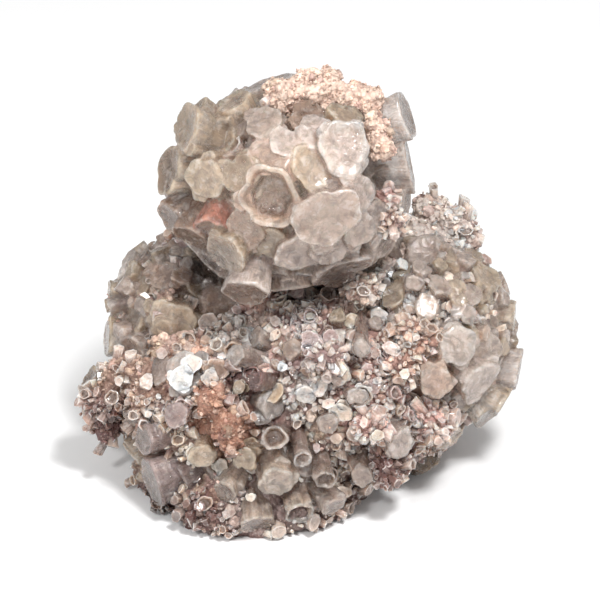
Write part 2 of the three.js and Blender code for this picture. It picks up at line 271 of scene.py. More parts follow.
# How much wider a burst's crystals are than the room that each keeps: the listed ones, and those
# spread over its front, which druse and crust crowd.
SWELL = {
    "crown": (1.16, 1.16),
    "heart": (0.9, 0.6),
    "right foot": (0.95, 0.7),
    "toe": (0.95, 0.75),
    "left shoulder": (1.05, 1.0),
    "left foot": (1.05, 0.65),
    "right shoulder": (1.05, 0.95),
    "right wing": (1.05, 1.05),
}
USUAL_SWELL = (1.05, 1.05)
FRONT = 8.0  # how near the front a spread crystal's end is before druse crowds it
FILLED = ("crown", "left shoulder", "right wing", "nape", "back left", "back right")

# Where large crystals stand with little druse between them: right, up and radius.
OPEN = [
    (-33, 29, 9),
    (38, 20, 10),
    (42, 13, 7),
    (-6, -9, 9),
    (-29, -2, 8),
    (-22, 18, 5),
    (32, 34, 7),
]

# How milky the rock is under the clear crystals of a burst.
MILKY = {
    "crown": 1.0,
    "right wing": 1.0,
    "right shoulder": 0.8,
    "left shoulder": 0.6,
    "nape": 0.7,
    "back left": 0.5,
}

# Smaller crystals that stand out on the front of the mound: right and up of the end's middle,
# width, rise above the rock, end, lean to the right and up, and tint.
SMALL = [
    # These two point their ends towards the glint light, so they flash; the white tint of the
    # second is partly a painted highlight.
    (-21.2, 19.2, 4.4, 4.2, FLAT, -0.15, 0.1, "pale"),
    (-23.2, 16.4, 5.2, 4.8, FLAT, -0.15, 0.1, "white"),
    (-17.4, 16.6, 3.4, 4.2, FLAT, 0.2, -0.1, "pale"),
    (1, 13, 4.2, 3.6, FLAT, 0.1, -0.5, "pale"),
    (-9.6, -6.8, 1.9, 6.4, FLAT, 0, -0.2, "cream"),
    (-20.6, 1.4, 4.4, 3, CUP, -0.1, 0.1, "cream"),
    (-23, 10.6, 4, 2.6, CUP, 0.1, 0, "pink"),
    (-15.4, -1.4, 3.6, 3, FLAT, -0.2, -0.2, "cream"),
    (-18.2, 27.2, 4.2, 2.6, FLAT, 0.1, -0.2, "grey"),
    (-13, 21.6, 4, 3, CUP, -0.1, -0.3, "peach"),
    (-13.4, 27.2, 2.6, 2, FLAT, 0.2, 0.1, "pale"),
    (-8.6, 23.6, 3, 3, FLAT, 0, -0.1, "white"),
    (-9.4, 17, 4, 3.4, CUP, 0, -0.2, "plum"),
    (-7.4, 8.8, 4, 2.6, FLAT, 0.1, 0.2, "slate"),
    (-9.6, 3, 3.8, 2.4, FLAT, -0.1, -0.2, "sand"),
    (-3.4, 18.6, 2, 3.6, FLAT, 0, 0, "white"),
    (2, 23.6, 4.4, 2.6, FLAT, 0.1, 0.1, "lilac"),
    (6, 24.6, 3.2, 2.4, FLAT, 0.2, 0, "lilac"),
    (2, 28.6, 3.2, 2, CUP, 0, 0.1, "lilac"),
    (11.6, 22, 3.6, 4.4, CUP, 0, -0.7, "clear"),
    (15.6, 28, 4.6, 3, FLAT, 0.1, 0.1, "pale"),
    (10, 27.6, 3.2, 2.4, FLAT, 0, 0.2, "sand"),
    (8, 17, 4.2, 3, FLAT, 0.2, -0.2, "cream"),
    (3.6, 14.6, 3.8, 2.6, FLAT, 0, -0.2, "pale"),
    (3, 17.4, 3, 3, CUP, -0.1, -0.1, "peach"),
    (12, 13, 4.4, 3.2, CUP, 0, -0.2, "pale"),
    (8, 9.6, 4.6, 2.8, FLAT, 0.1, -0.2, "cream"),
    (11, 5.6, 4.2, 2.8, FLAT, 0.2, -0.3, "grey"),
    (15, 5.4, 2.6, 3, FLAT, 0.2, -0.1, "cream"),
    (14.6, 2.4, 2.2, 2.6, FLAT, 0.1, -0.2, "white"),
    (19, 3.6, 3.6, 2.4, FLAT, 0.3, -0.3, "pale"),
    (-12, 14.6, 3, 2.6, FLAT, -0.3, 0.1, "sand"),
    (-7.6, 19.4, 3.2, 2.4, FLAT, 0.1, 0.2, "peach"),
    (-5.4, 13.6, 4.8, 2.6, FLAT, -0.2, 0.3, "olive"),
    (-22, 24, 2.8, 2.2, CUP, -0.2, 0, "grey"),
    (-20, 26.4, 2.6, 2, CUP, 0, 0.1, "grey"),
    (-16.4, 18, 5.4, 2.2, FLAT, 0.5, 0.2, "brown"),
    (-22, 31, 4, 2, FLAT, -0.2, 0.3, "peach"),
    (6, -3, 3.6, 3, CUP, 0.1, -0.4, "grey"),
    (2.6, -4, 3.2, 2.6, CUP, 0, -0.5, "grey"),
    (30.4, 20.6, 3.4, 3.4, CUP, 0.3, -0.1, "pale"),
    (26.2, 32, 3.6, 2.4, FLAT, 0.1, 0.2, "grey"),
    (30, 30.4, 3, 2.4, FLAT, 0.3, 0, "peach"),
    (33, 24.6, 3, 2.4, FLAT, 0.4, 0.1, "clear"),
    (29, 3.4, 4.6, 2.6, FLAT, 0.4, -0.5, "grey"),
]

# Where the front of the specimen changes in look: right, up, radius, tint, and how much of it is
# crust rather than crystals. The darkest zones, under the crown and at the lower left, are painted
# shade.
ZONES = [
    (4, 72, 9, "apricot", 1.0),
    (12, 70.4, 5, "apricot", 1.0),
    (-3, 71.4, 5, "apricot", 1.0),
    (15, 62, 5, "apricot", 1.0),
    (16.4, 52, 3, "pink", 0.7),
    (17, 46, 5, "umber", 0.6),
    (-19, 37, 7.5, "hollow", 0.5),
    (7.4, 35.4, 5, "hollow", 0.5),
    (-31, 32.4, 5, "brown", 0.5),
    (-12, 31, 4, "pink", 0.4),
    (-29, 41, 8, "lilac", 0.5),
    (-25, 28.4, 6, "apricot", 0.8),
    (-34, 16, 8, "brown", 0.8),
    (-38, 8, 6, "plum", 0.6),
    (-38, 3.6, 6, "plum", 0.9),
    (-29, -9.5, 6, "hollow", 0.2),
    (-16.4, 9, 7, "ochre", 0.9),
    (-13, 4.6, 6, "ochre", 0.9),
    (-11, 17, 4, "plum", 0.4),
    (-12.6, 14, 3, "plum", 0.4),
    (0, 29, 6, "lilac", 0.3),
    (-2, 32.4, 5, "pink", 0.4),
    (12, 33.6, 6, "apricot", 0.7),
    (19, 34.4, 6, "white", 0.6),
    (-12, 23, 6, "white", 0.4),
    (4, 20, 8, "lilac", 0.4),
    (14, 17, 8, "pink", 0.4),
    (21, 23, 7, "rust", 0.5),
    (27, 46, 8, "white", 0.8),
    (30, 42, 5, "white", 0.7),
    (34, 30, 7, "pale", 0.3),
    (38, 20, 8, "grey", 0.0),
    (17, 9, 8, "pink", 0.5),
    (25, 9, 7, "pink", 0.6),
    (17, -1, 6, "plum", 0.4),
    (8, -4, 8, "grey", 0.1),
    (-5, -5, 10, "white", 0.1),
    (-20, -11, 5, "plum", 0.7),
    (-26, 0, 8, "sand", 0.2),
    (0, 12, 6, "pale", 0.3),
]

# The tints of the zones that also darken the crystals that stand there with painted shade.
SHADED = {"hollow": 0.9, "plum": 0.35, "ochre": 0.2}

# The tints that take turns where nothing is said: of large crystals, small ones, the druse, lumps
# and crumbs, and the rock away from the front.
SPARE = ("grey", "sand", "olive", "grey", "clear", "peach")
SMALL_TINTS = ("pale", "cream", "grey", "clear", "lilac", "peach")
DRUSE_TINTS = ("pale", "cream", "peach", "clear", "lilac")
CRUST_TINTS = ("apricot", "cream", "pink", "rust", "plum", "sand")
GROUND_TINTS = ("sand", "pink", "plum", "rust", "grey")


def srgb(red, green, blue):
    """A colour given as 0 to 255 screen values, as the linear values that a shader takes."""
    shares = [value / 255 for value in (red, green, blue)]
    return tuple(s / 12.92 if s <= 0.04045 else ((s + 0.055) / 1.055) ** 2.4 for s in shares)


def tint_property(name, description, *value):
    """A colour property with its default given as screen values."""
    return FloatVectorProperty(
        name=name, description=description, subtype="COLOR", min=0, max=1, default=srgb(*value)
    )


def length_property(name, description, default):
    """A length property with its default given in millimetres."""
    return FloatProperty(name=name, description=description, default=default * MM, unit="LENGTH")


def span_property(name, description, low, high):
    """A pair of lengths with their defaults given in millimetres."""
    pair = (low * MM, high * MM)
    return FloatVectorProperty(
        name=name, description=description, size=2, default=pair, unit="LENGTH"
    )


def count_property(name, description, default):
    return IntProperty(name=name, description=description, default=default)


def power_property(name, description, default):
    return FloatProperty(name=name, description=description, default=default, unit="POWER")


class SpecimenSizes(bpy.types.PropertyGroup):
    """How fine the specimen's rock, crystals and crust are."""

    rock_grid: length_property("Rock Grid", "Width of a facet of the rock", 0.72)
    rock_lumps: length_property("Rock Lumps", "How far the rock's lumps and pits reach", 3.0)
    druse_count: count_property("Druse Places", "Places where a small crystal is tried", 60000)
    druse_width: span_property("Druse Width", "Narrowest and widest small crystal", 0.85, 3.2)
    small_count: count_property("Small Crystals", "Smaller crystals spread over the front", 100)
    lump_count: count_property("Lumps", "Lumps of crust on the rock at most", 1500)
    lump_width: span_property("Lump Width", "Narrowest and widest lump", 0.8, 2.9)
    crumb_count: count_property("Crumbs", "Crumbs of crust on the rock", 20000)
    crumb_width: span_property("Crumb Width", "Narrowest and widest crumb", 0.35, 1.0)


class SpecimenColours(bpy.types.PropertyGroup):
    """The tints of crystals, crust and rock."""

    pale: tint_property("Pale", "Milky crystal", 232, 213, 202)
    white: tint_property("White", "Whitest crystal", 252, 242, 233)
    cream: tint_property("Cream", "Warm milky crystal", 236, 214, 196)
    clear: tint_property("Clear", "Clearest crystal", 215, 198, 188)
    grey: tint_property("Grey", "Greyish crystal", 200, 180, 168)
    sand: tint_property("Sand", "Beige crystal", 204, 182, 158)
    olive: tint_property("Olive", "Greenish brown crystal", 190, 168, 144)
    peach: tint_property("Peach", "Orange-tinged crystal", 220, 190, 172)
    brown: tint_property("Brown", "Brown crystal", 172, 144, 126)
    umber: tint_property("Umber", "Dark purplish brown crystal", 160, 134, 124)
    rose: tint_property("Rose", "Red-tinged crystal", 220, 152, 132)
    lilac: tint_property("Lilac", "Purplish grey crystal", 188, 166, 162)
    slate: tint_property("Slate", "Dark grey crystal", 126, 116, 110)
    apricot: tint_property("Apricot", "Pale orange crust", 236, 208, 190)
    rust: tint_property("Rust", "Orange crust", 212, 170, 148)
    pink: tint_property("Pink", "Pink crust", 226, 184, 174)
    ochre: tint_property("Ochre", "Orange-brown crust", 194, 142, 114)
    plum: tint_property("Plum", "Purple-brown crust", 128, 92, 88)
    core: tint_property("Core", "Milky rock under clear crystals", 248, 231, 215)
    # Painted shade: the dark that undersides, the foot, the dark zones and the hollows on the front
    # are painted with.
    hollow: tint_property("Hollow", "Rock deep in the hollows", 54, 34, 32)
    stain: tint_property("Stain", "Red-brown rock between the crystals", 94, 62, 58)


class SpecimenStage(bpy.types.PropertyGroup):
    """The floor, lights and camera."""

    camera_distance: length_property("Camera Distance", "From the aim", 900)
    view_width: length_property("View Width", "What the view spans at the aim", 120)
    aim: FloatVectorProperty(
        name="Aim",
        description="Where the camera looks",
        default=(0.0, 0.98 * MM, 35 * MM),
        subtype="XYZ",
        unit="LENGTH",
    )
    floor_colour: tint_property("Floor", "The floor", 252, 252, 252)
    sky: FloatProperty(name="Sky", description="Strength of the light all round", default=0.52)
    key: power_property("Key", "Power of the main light", 4.4)
    glint: power_property("Glint", "Power of the small light", 1.6)
    fill: power_property("Fill", "Power of the side light", 0.5)


def sizes():
    return bpy.context.scene.specimen_sizes


def tint_of(name):
    """A named tint as an array."""
    return np.array(getattr(bpy.context.scene.specimen_colours, name)[:])


def palette(names):
    return np.array([tint_of(name) for name in names])


def mixed(first, second, share):
    """Two colours mixed, with that share of the first."""
    return first * share + second * (1 - share)


class Draw:
    """A seeded source of numbers, the same on every run."""

    def __init__(self, seed):
        self.state = seed

    def __call__(self, low=0.0, high=1.0):
        self.state = (self.state * 1664525 + 1013904223) & 0xFFFFFFFF
        return low + (high - low) * self.state / 2**32

    def each(self, *spans):
        """One number from each span, as an array."""
        return np.array([self(low, high) for low, high in spans])

    def vector(self):
        return self.each((-1, 1), (-1, 1), (-1, 1))

    def pick(self, choices):
        return choices[int(self(0, len(choices)))]


def only(wanted, *arrays):
    """The wanted rows of each array."""
    return [array[wanted] for array in arrays]


def smooth(low, high, value):
    share = np.clip((value - low) / (high - low), 0, 1)
    return share * share * (3 - 2 * share)


def seen(place):
    """A vector given as right, up and near from the front."""
    return RIGHT * place[0] + UP * place[1] + NEAR * place[2]


def frontness(points):
    """How much the zones of the front tell at each point, from 0 to 1."""
    return smooth(FRONT_STARTS, FRONT_FULL, points @ NEAR)


def gap_to(points, across, rise, radius):
    """How far points are from a spot on the front, as a share of its radius."""
    return np.hypot(points @ RIGHT - across, points @ UP - rise) / radius


def unit(vector):
    return vector / np.linalg.norm(vector)


# ---- Where the large crystals stand -----------------------------------------------------------


def spiral(index, count):
    """Directions spread evenly over a sphere."""
    height = 1 - 2 * (index + 0.5) / count
    angle = index * math.pi * (3 - math.sqrt(5))
    ring = math.sqrt(1 - height**2)
    return np.array([ring * math.cos(angle), ring * math.sin(angle), height])


def rooted(burst, tip, axis, width, end, tint):
    """A crystal with its end at tip, rooted in the ball that it stands on."""
    reach = np.linalg.norm(tip - np.array(burst["middle"], float))
    length = reach - burst["core"] + SUNK + width / 2
    return {
        "burst": burst["name"],
        "tip": tip,
        "axis": axis,
        "width": width,
        "length": length,
        "end": end,
        "tint": tint,
    }


def listed_crystals(burst):
    middle = np.array(burst["middle"], float)
    rows = []
    for place, width, tint, *rest in CRYSTALS.get(burst["name"], ()):
        end, way = rest or (FLAT, None)
        tip = seen(place)
        axis = seen(way) if way else tip - middle
        rows.append(rooted(burst, tip, unit(axis), width, end, tint))
    return rows


def listed_nodules():
    return [{"tip": seen(place), "width": 2 * size, "size": size} for place, size in NODULES]


def buried(point, own):
    """Whether a point lies in another burst, where a crystal would be out of sight."""
    return any(
        burst is not own and math.dist(point, burst["middle"]) < burst["core"] + BARE_MARGIN
        for burst in BURSTS
    )


class Standing:
    """The tips that are taken, and the room that each keeps."""

    def __init__(self, rows):
        self.tips = np.array([row["tip"] for row in rows])
        self.widths = np.array([row["width"] for row in rows])

    def crowded(self, tip, width, share):
        return bool(
            (np.linalg.norm(self.tips - tip, axis=1) < (self.widths + width) / 2 * share).any()
        )

    def take(self, tip, width):
        self.tips = np.vstack([self.tips, tip])
        self.widths = np.append(self.widths, width)


def spread_crystals(burst, standing, draw):
    middle = np.array(burst["middle"], float)
    found = []
    for index in range(TRIES):
        out = spiral(index, TRIES)
        tip = middle + out * draw(*burst["reach"])
        axis = unit(out + draw.vector() * LEAN)
        one = rooted(burst, tip, axis, draw(*burst["width"]), FLAT, None)
        free = tip[2] > LEAST_RISE and not standing.crowded(tip, one["width"], CROWDING)
        if free and not buried(tip, burst):
            found.append(one)
            standing.take(tip, one["width"])
    return found


def turn_of(axis, draw):
    """A rotation that stands a crystal made along +Y up along axis, rolled by a draw."""
    roll = Quaternion((0, 1, 0), draw(0, SIXTH))
    turn = Vector((0, 1, 0)).rotation_difference(Vector(axis)) @ roll
    return np.array(turn.to_matrix())


@functools.cache
def large_crystals():
    """Every large crystal and nodule, with the turn and squash that each crystal has."""
    draw = Draw(SEED)
    crystals = [row for burst in BURSTS for row in listed_crystals(burst)]
    nodules = listed_nodules()
    standing = Standing(crystals + nodules)
    for burst in BURSTS:
        crystals += spread_crystals(burst, standing, draw)
    for crystal in crystals:
        crystal["turn"] = turn_of(crystal["axis"], draw)
        crystal["squash"] = draw(0.9, 1.12)
    return crystals, nodules


# ---- Meshes -----------------------------------------------------------------------------------


def start_piece():
    bpy.ops.object.select_all(action="DESELECT")


@contextlib.contextmanager
def editing():
    """Edit mode with the whole mesh selected, and object mode after it."""
    bpy.ops.object.mode_set(mode="EDIT")
    bpy.ops.mesh.select_all(action="SELECT")
    yield
    bpy.ops.object.mode_set(mode="OBJECT")


def pick(kind, wanted):
    """Selects only the faces or edges that wanted says, in edit mode."""
    bpy.ops.mesh.select_mode(type=kind)
    bpy.ops.mesh.select_all(action="DESELECT")
    data = bpy.context.object.data
    mesh = bmesh.from_edit_mesh(data)
    for item in mesh.faces if kind == "FACE" else mesh.edges:
        item.select_set(wanted(item))
    bmesh.update_edit_mesh(data)


def triangulate():
    """Leaves the mesh in edit mode in triangles."""
    bpy.ops.mesh.select_all(action="SELECT")
    bpy.ops.mesh.quads_convert_to_tris()


def inset(rings):
    """Insets the selected faces in turn, by a thickness and a depth each."""
    for thickness, depth in rings:
        bpy.ops.mesh.inset(thickness=thickness, depth=depth)


def post(around):
    """An upright prism, a unit wide and high, with its end at the origin."""
    start_piece()
    bpy.ops.mesh.primitive_cylinder_add(
        vertices=around, radius=0.5, depth=1, location=(0, 0, -0.5)
    )
    bpy.ops.object.transform_apply(location=True)


def taken_arrays():
    """The active model's points and triangles, and the model is deleted."""
    model = bpy.context.object
    points = np.array([v.co for v in model.data.vertices])
    faces = np.array([p.vertices[:] for p in model.data.polygons])
    mesh = model.data
    bpy.data.objects.remove(model)
    bpy.data.meshes.remove(mesh)
    return points, faces


def twin_model(around, end, steps):
    """One twin, a unit wide, its end at the origin and its root a unit below, as arrays.

    steps are the depths below the end where its growth steps lie.
    """
    post(around)
    with editing():
        for step in steps:
            for side in (-STEP_HALF, STEP_HALF):
                bpy.ops.mesh.select_all(action="SELECT")
                bpy.ops.mesh.bisect(plane_co=(0, 0, side - step), plane_no=(0, 0, 1))
        pick("EDGE", lambda edge: all(v.co.z > -SLIGHT for v in edge.verts))
        bpy.ops.mesh.bevel(offset=0.035, segments=2, affect="EDGES")
        pick("FACE", lambda face: face.normal.z > 0.99 and face.calc_center_median().z > -SLIGHT)
        inset(TWIN_RINGS[end])
        bpy.ops.mesh.poke()
        triangulate()
    return taken_arrays()


def druse_model(end):
    """A small crystal of few faces, a unit wide, its end at the origin, as arrays."""
    post(6)
    with editing():
        pick("FACE", lambda face: face.normal.z > 0.99)
        inset(DRUSE_RINGS[end])
        triangulate()
    return taken_arrays()


def crumb_model():
    """A crumb of crust, a unit wide, as arrays."""
    start_piece()
    bpy.ops.mesh.primitive_cone_add(vertices=4, radius1=0.55, depth=0.5)
    with editing():
        pick("FACE", lambda face: face.normal.z < -0.9)
        bpy.ops.mesh.poke(offset=0.45)
        bpy.ops.mesh.select_all(action="SELECT")
        bpy.ops.transform.vertex_random(offset=0.2, seed=3)
        triangulate()
    return taken_arrays()


def lump_model():
    """A lump of crust, a unit wide, as arrays."""
    start_piece()
    bpy.ops.mesh.primitive_ico_sphere_add(subdivisions=2, radius=0.5)
    with editing():
        bpy.ops.transform.vertex_random(offset=0.14, seed=5)
    return taken_arrays()


def read_rows(data, label="vector"):
    """The vectors of a mesh's points, normals or attribute, a row each."""
    values = np.zeros(3 * len(data))
    data.foreach_get(label, values)
    return values.reshape(-1, 3)


def read_points(piece):
    """A piece's points in millimetres."""
    return read_rows(piece.data.vertices, "co") / MM


def with_painted_shade(piece, colours):
    """Colours with painted shade: made darker where a piece faces down, near the break and in the
    dark zones.
    """
    points = read_points(piece)
    # Painted shade: darker on faces that look down, darker near the floor, and darker towards the
    # dark hollow tint in the zones that SHADED names.
    under = smooth(0.0, 0.9, -read_rows(piece.data.vertex_normals)[:, 2])
    foot = smooth(18, 1, points[:, 2])
    unshaded = (1 - 0.6 * under) * (1 - 0.35 * foot)
    front = frontness(points)
    for *spot, tint, _ in ZONES:
        gap = gap_to(points, *spot)
        unshaded = unshaded * (1 - SHADED.get(tint, 0) * front * np.exp(-1.6 * gap**2))
    colours[:, :3] = mixed(colours[:, :3], tint_of("hollow"), unshaded[:, None])
    return colours


def bare_mesh(name, points, faces):
    """An object made of points in millimetres and triangles, selected on its own."""
    mesh = bpy.data.meshes.new(name)
    mesh.from_pydata((points * MM).tolist(), [], faces.tolist())
    piece = bpy.data.objects.new(name, mesh)
    bpy.context.collection.objects.link(piece)
    start_piece()
    piece.select_set(True)
    bpy.context.view_layer.objects.active = piece
    return piece


ATTRIBUTE_KINDS = {3: ("FLOAT_VECTOR", "vector"), 4: ("FLOAT_COLOR", "color")}


def set_attributes(piece, attributes):
    """Stores colours and vectors on a piece's points."""
    for label, values in attributes.items():
        kind, member = ATTRIBUTE_KINDS[values.shape[1]]
        made = piece.data.attributes.new(label, kind, "POINT")
        made.data.foreach_set(member, values.ravel())


def seat(piece):
    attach(piece, "root")
    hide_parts(NODE)


def dress(piece, attributes, look):
    """Gives a piece its attributes, its tint darkened with painted shade, its material and its
    place in the frame.
    """
    attributes["tint"] = with_painted_shade(piece, attributes["tint"])
    set_attributes(piece, attributes)
    piece.data.materials.append(shared(look))
    seat(piece)


def finished_piece(name, gathered, look, angle=0):
    """A joined mesh of many copies, smooth where its faces meet at less than angle."""
    points, faces, attributes = gathered.arrays()
    piece = bare_mesh(name, points, faces)
    dress(piece, attributes, look)
    if angle:
        bpy.ops.object.shade_smooth_by_angle(angle=math.radians(angle))


def modify(piece, kind, **settings):
    """Adds a modifier to the active piece and applies it."""
    made = piece.modifiers.new(kind.lower(), kind)
    for label, value in settings.items():
        setattr(made, label, value)
    bpy.ops.object.modifier_apply(modifier=made.name)


def nearest_shares(places, points, faces):
    """For each place the three corners of the nearest triangle and how much each of them counts."""
    tree = BVHTree.FromPolygons(points.tolist(), faces.tolist())
    hits = [tree.find_nearest(Vector(place)) for place in places]
    corners = faces[np.array([hit[2] for hit in hits])]
    spots = np.array([hit[0] for hit in hits])
    first = points[corners[:, 0]]
    one, two, rest = points[corners[:, 1]] - first, points[corners[:, 2]] - first, spots - first
    a, b, c = (one * one).sum(1), (one * two).sum(1), (two * two).sum(1)
    d, e = (rest * one).sum(1), (rest * two).sum(1)
    area = np.maximum(a * c - b * b, 1e-9)
    v, w = np.clip((c * d - b * e) / area, 0, 1), np.clip((a * e - b * d) / area, 0, 1)
    return corners, np.stack([1 - v - w, v, w], axis=1)


def fused_piece(name, gathered, balls, grid, most):
    """Copies grown into one body round the balls: a piece of at most that many triangles."""
    points, faces, attributes = gathered.arrays()
    piece = bare_mesh(name, points, faces)
    start_piece()
    parts = [ball(radius, middle) for radius, middle in balls]
    for part in (*parts, piece):
        part.select_set(True)
    bpy.context.view_layer.objects.active = piece
    bpy.ops.object.transform_apply(location=True)
    bpy.ops.object.join()
    modify(piece, "REMESH", mode="VOXEL", voxel_size=grid)
    modify(piece, "SMOOTH", factor=0.5, iterations=1)
    rough_up(piece, "waves", "CLOUDS", 2.2, 0.3 * MM)
    level_off()
    share = most / len(piece.data.polygons)
    if share < 1:
        modify(piece, "DECIMATE", ratio=share)
        drop_doubled()
    corners, shares = nearest_shares(read_points(piece), points, faces)
    grown = {
        label: (values[corners] * shares[:, :, None]).sum(axis=1)
        for label, values in attributes.items()
    }
    dress(piece, grown, "aragonite_crystal")
    bpy.ops.object.shade_smooth()


def level_off():
    """Cuts the active piece flat at the floor and leaves it in triangles."""
    with editing():
        bpy.ops.mesh.bisect(
            plane_co=(0, 0, 0),
            plane_no=(0, 0, 1),
            use_fill=True,
            clear_inner=True,
            threshold=NO_WELD,
        )
        triangulate()


def doubled(face):
    """Whether another face lies on the same corners."""
    corners = set(face.verts)
    beside = face.edges[0].link_faces
    return any(other is not face and set(other.verts) == corners for other in beside)


def drop_doubled():
    """Deletes the slivers of two faces that decimating the active piece leaves."""
    with editing():
        pick("FACE", doubled)
        bpy.ops.mesh.delete(type="FACE")


class Gathered:
    """Copies of models, gathered into the arrays of one joined mesh."""

    def __init__(self):
        self.copies = []
        self.count = 0

    def add(self, points, faces, tint, growth, local):
        tints = np.broadcast_to(np.append(tint, 1.0), (len(points), 4))
        self.copies.append((points, faces + self.count, tints, growth, local))
        self.count += len(points)

    def arrays(self):
        points, faces, tint, growth, local = (np.concatenate(rows) for rows in zip(*self.copies))
        return points, faces, {"tint": tint, "growth": growth, "local": local}


# ---- Growing crystals -------------------------------------------------------------------------


def section(theta, draw, groove, lobes):
    """A twin's radius around its axis, as a share of the corner's: six uneven sides with rounded
    corners, and a shallow re-entrant groove in the middle of some of them."""
    nearness, notch = 0, 0
    for side in range(6):
        facing = side * SIXTH + draw(-0.15, 0.15)
        off = (theta - facing + math.pi) % (2 * math.pi) - math.pi
        nearness = nearness + (np.clip(np.cos(off), 0, 1) / draw(0.8, 1.0)) ** ROUNDING
        notch = notch + draw(0, groove) * np.exp(-((off / 0.11) ** 2))
    wander = np.sin(2 * theta + draw(0, 6.28)) + 0.8 * np.sin(3 * theta + draw(0, 6.28))
    return (nearness ** (-1 / ROUNDING) - notch) * (1 + lobes * wander)


def grown_copy(model, crystal, draw, steps, groove=0.1, lobes=0.045):
    """One copy of a twin, shaped for its crystal: points in the frame, growth and local place."""
    points, _ = model
    width, length = crystal["width"], crystal["length"]
    radius = np.hypot(points[:, 0], points[:, 1])
    theta = np.arctan2(points[:, 1], points[:, 0])
    depth = -points[:, 2]
    shape = section(theta, draw, groove, lobes)
    flare = ROOT_WIDTH + (1 - ROOT_WIDTH) * (1 - np.clip(depth, 0, 1)) ** 0.8
    for step in steps:
        flare = flare - draw(0, 0.035) * (depth > step)
    across = radius * shape * flare
    lean = draw(-1, 1), draw(-1, 1)
    sloped = (1 - smooth(0.05, HEAD, depth)) * crystal.get("slope", 0.16)
    x, y = across * np.cos(theta), across * np.sin(theta)
    head = min(HEAD, 0.8 * length / width)
    drop = np.where(
        depth <= HEAD,
        depth * head / HEAD * width,
        head * width + (depth - HEAD) / (1 - HEAD) * (length - head * width),
    )
    height = -drop + sloped * width * (lean[0] * x + lean[1] * y)
    squash = crystal["squash"]
    flat = np.stack([y * width * squash, height, x * width / squash], axis=1)
    placed = flat @ crystal["turn"].T + crystal["tip"]
    # rim and dish steer painted light in the material: a glow towards the rim of each end, and
    # painted shade in a cup's dish and on a prism's end.
    rim = np.clip(2 * radius, 0, 1) * (1 - smooth(0.0, 0.1, depth))
    if crystal["end"] == PRISM:
        hollow = smooth(0.48, 0.4, radius) * (depth < 0.1)
    else:
        hollow = smooth(0.03, 0.15, depth) * (radius < 0.33)
    dish = min(1.6, 0.35 * width) * hollow
    growth = np.stack([1 - np.clip(depth, 0, 1), rim - dish, np.full(len(points), draw())], axis=1)
    return placed, growth, flat + draw.each((0, 90), (0, 90), (0, 90))


def members(crystal, draw, swell):
    """The parallel crystals that a large one is grown together from: itself, others that lobe its
    rim and a few that end lower down."""
    width = crystal["width"] * swell
    across, along = crystal["turn"][:, 0], crystal["turn"][:, 2]
    prism, cup = crystal["end"] == PRISM, crystal["end"] == CUP
    rows = [{**crystal, "width": width}]
    start = draw(0, 2 * math.pi)
    count = int(draw(3, 5.99)) if crystal["width"] > 6.5 else int(draw(1, 3.99))
    if prism:
        count = int(draw(1, 2.99))
    for index in range(count):
        angle = start + (index + draw(-0.3, 0.3)) * 2 * math.pi / count
        share = draw(0.26, 0.4) if cup else draw(0.4, 0.66)
        away = (0.44 if cup else 0.56 - 0.42 * share) * width
        side = across * math.cos(angle) + along * math.sin(angle)
        low = draw(0.02, 0.1) * width if draw() < 0.6 else draw(0.15, 0.7) * width
        if prism:
            low = draw(0.3, 0.8) * width
        axis = unit(crystal["axis"] + side * draw(0, 0.12))
        row = {
            **crystal,
            "tip": crystal["tip"] + side * away - crystal["axis"] * low,
            "axis": axis,
            "width": width * share,
            "length": max(crystal["length"] - low, width * 0.4),
            "turn": turn_of(axis, draw),
            "squash": draw(0.85, 1.18),
            "end": FLAT,
        }
        rows.append(row)
    return rows


def grow(crystal, models, steps, group, swell):
    """Adds a crystal and the others that it is grown together with, drawn by its place."""
    draw = Draw(int(crystal["tip"] @ (7919, 104729, 1299709)) & 0xFFFFFFFF)
    draw()
    name = crystal["tint"] or draw.pick(SPARE)
    tint = tint_of(name) * draw(0.92, 1.08)
    for member in members(crystal, draw, swell):
        model = models[member["end"]]
        points, growth, local = grown_copy(model, member, draw, steps)
        group.add(points, model[1], tint, growth, local)


def fillers(burst, standing, draw):
    """Lesser crystals that fill what the large ones of a burst leave bare."""
    middle = np.array(burst["middle"], float)
    found = []
    for index in range(FILLER_TRIES):
        out = spiral(index, FILLER_TRIES)
        width = draw(0.22, 0.55) * burst["width"][1]
        tip = middle + out * (burst["core"] + draw(1.0, 4.2))
        axis = unit(out + draw.vector() * 0.3)
        free = tip[2] > LEAST_RISE and not standing.crowded(tip, width, 0.78)
        if free and not buried(tip, burst):
            row = rooted(burst, tip, axis, width, FLAT, None)
            row.update(turn=turn_of(axis, draw), squash=draw(0.85, 1.18))
            found.append(row)
            standing.take(tip, width)
    return found


# ---- Materials --------------------------------------------------------------------------------


def maths(operation, swapped=False):
    """A method that adds a Math node, with its two inputs swapped for a reflected operator."""

    def method(value, other):
        pair = (other, value) if swapped else (value, other)
        return value.shader.node("ShaderNodeMath", {"operation": operation}, *pair)

    return method


class Value:
    """A node's output that can be added, multiplied and so on as a number can."""

    def __init__(self, shader, socket):
        self.shader = shader
        self.socket = socket

    __add__ = maths("ADD")
    __radd__ = maths("ADD", swapped=True)
    __sub__ = maths("SUBTRACT")
    __rsub__ = maths("SUBTRACT", swapped=True)
    __mul__ = maths("MULTIPLY")
    __rmul__ = maths("MULTIPLY", swapped=True)


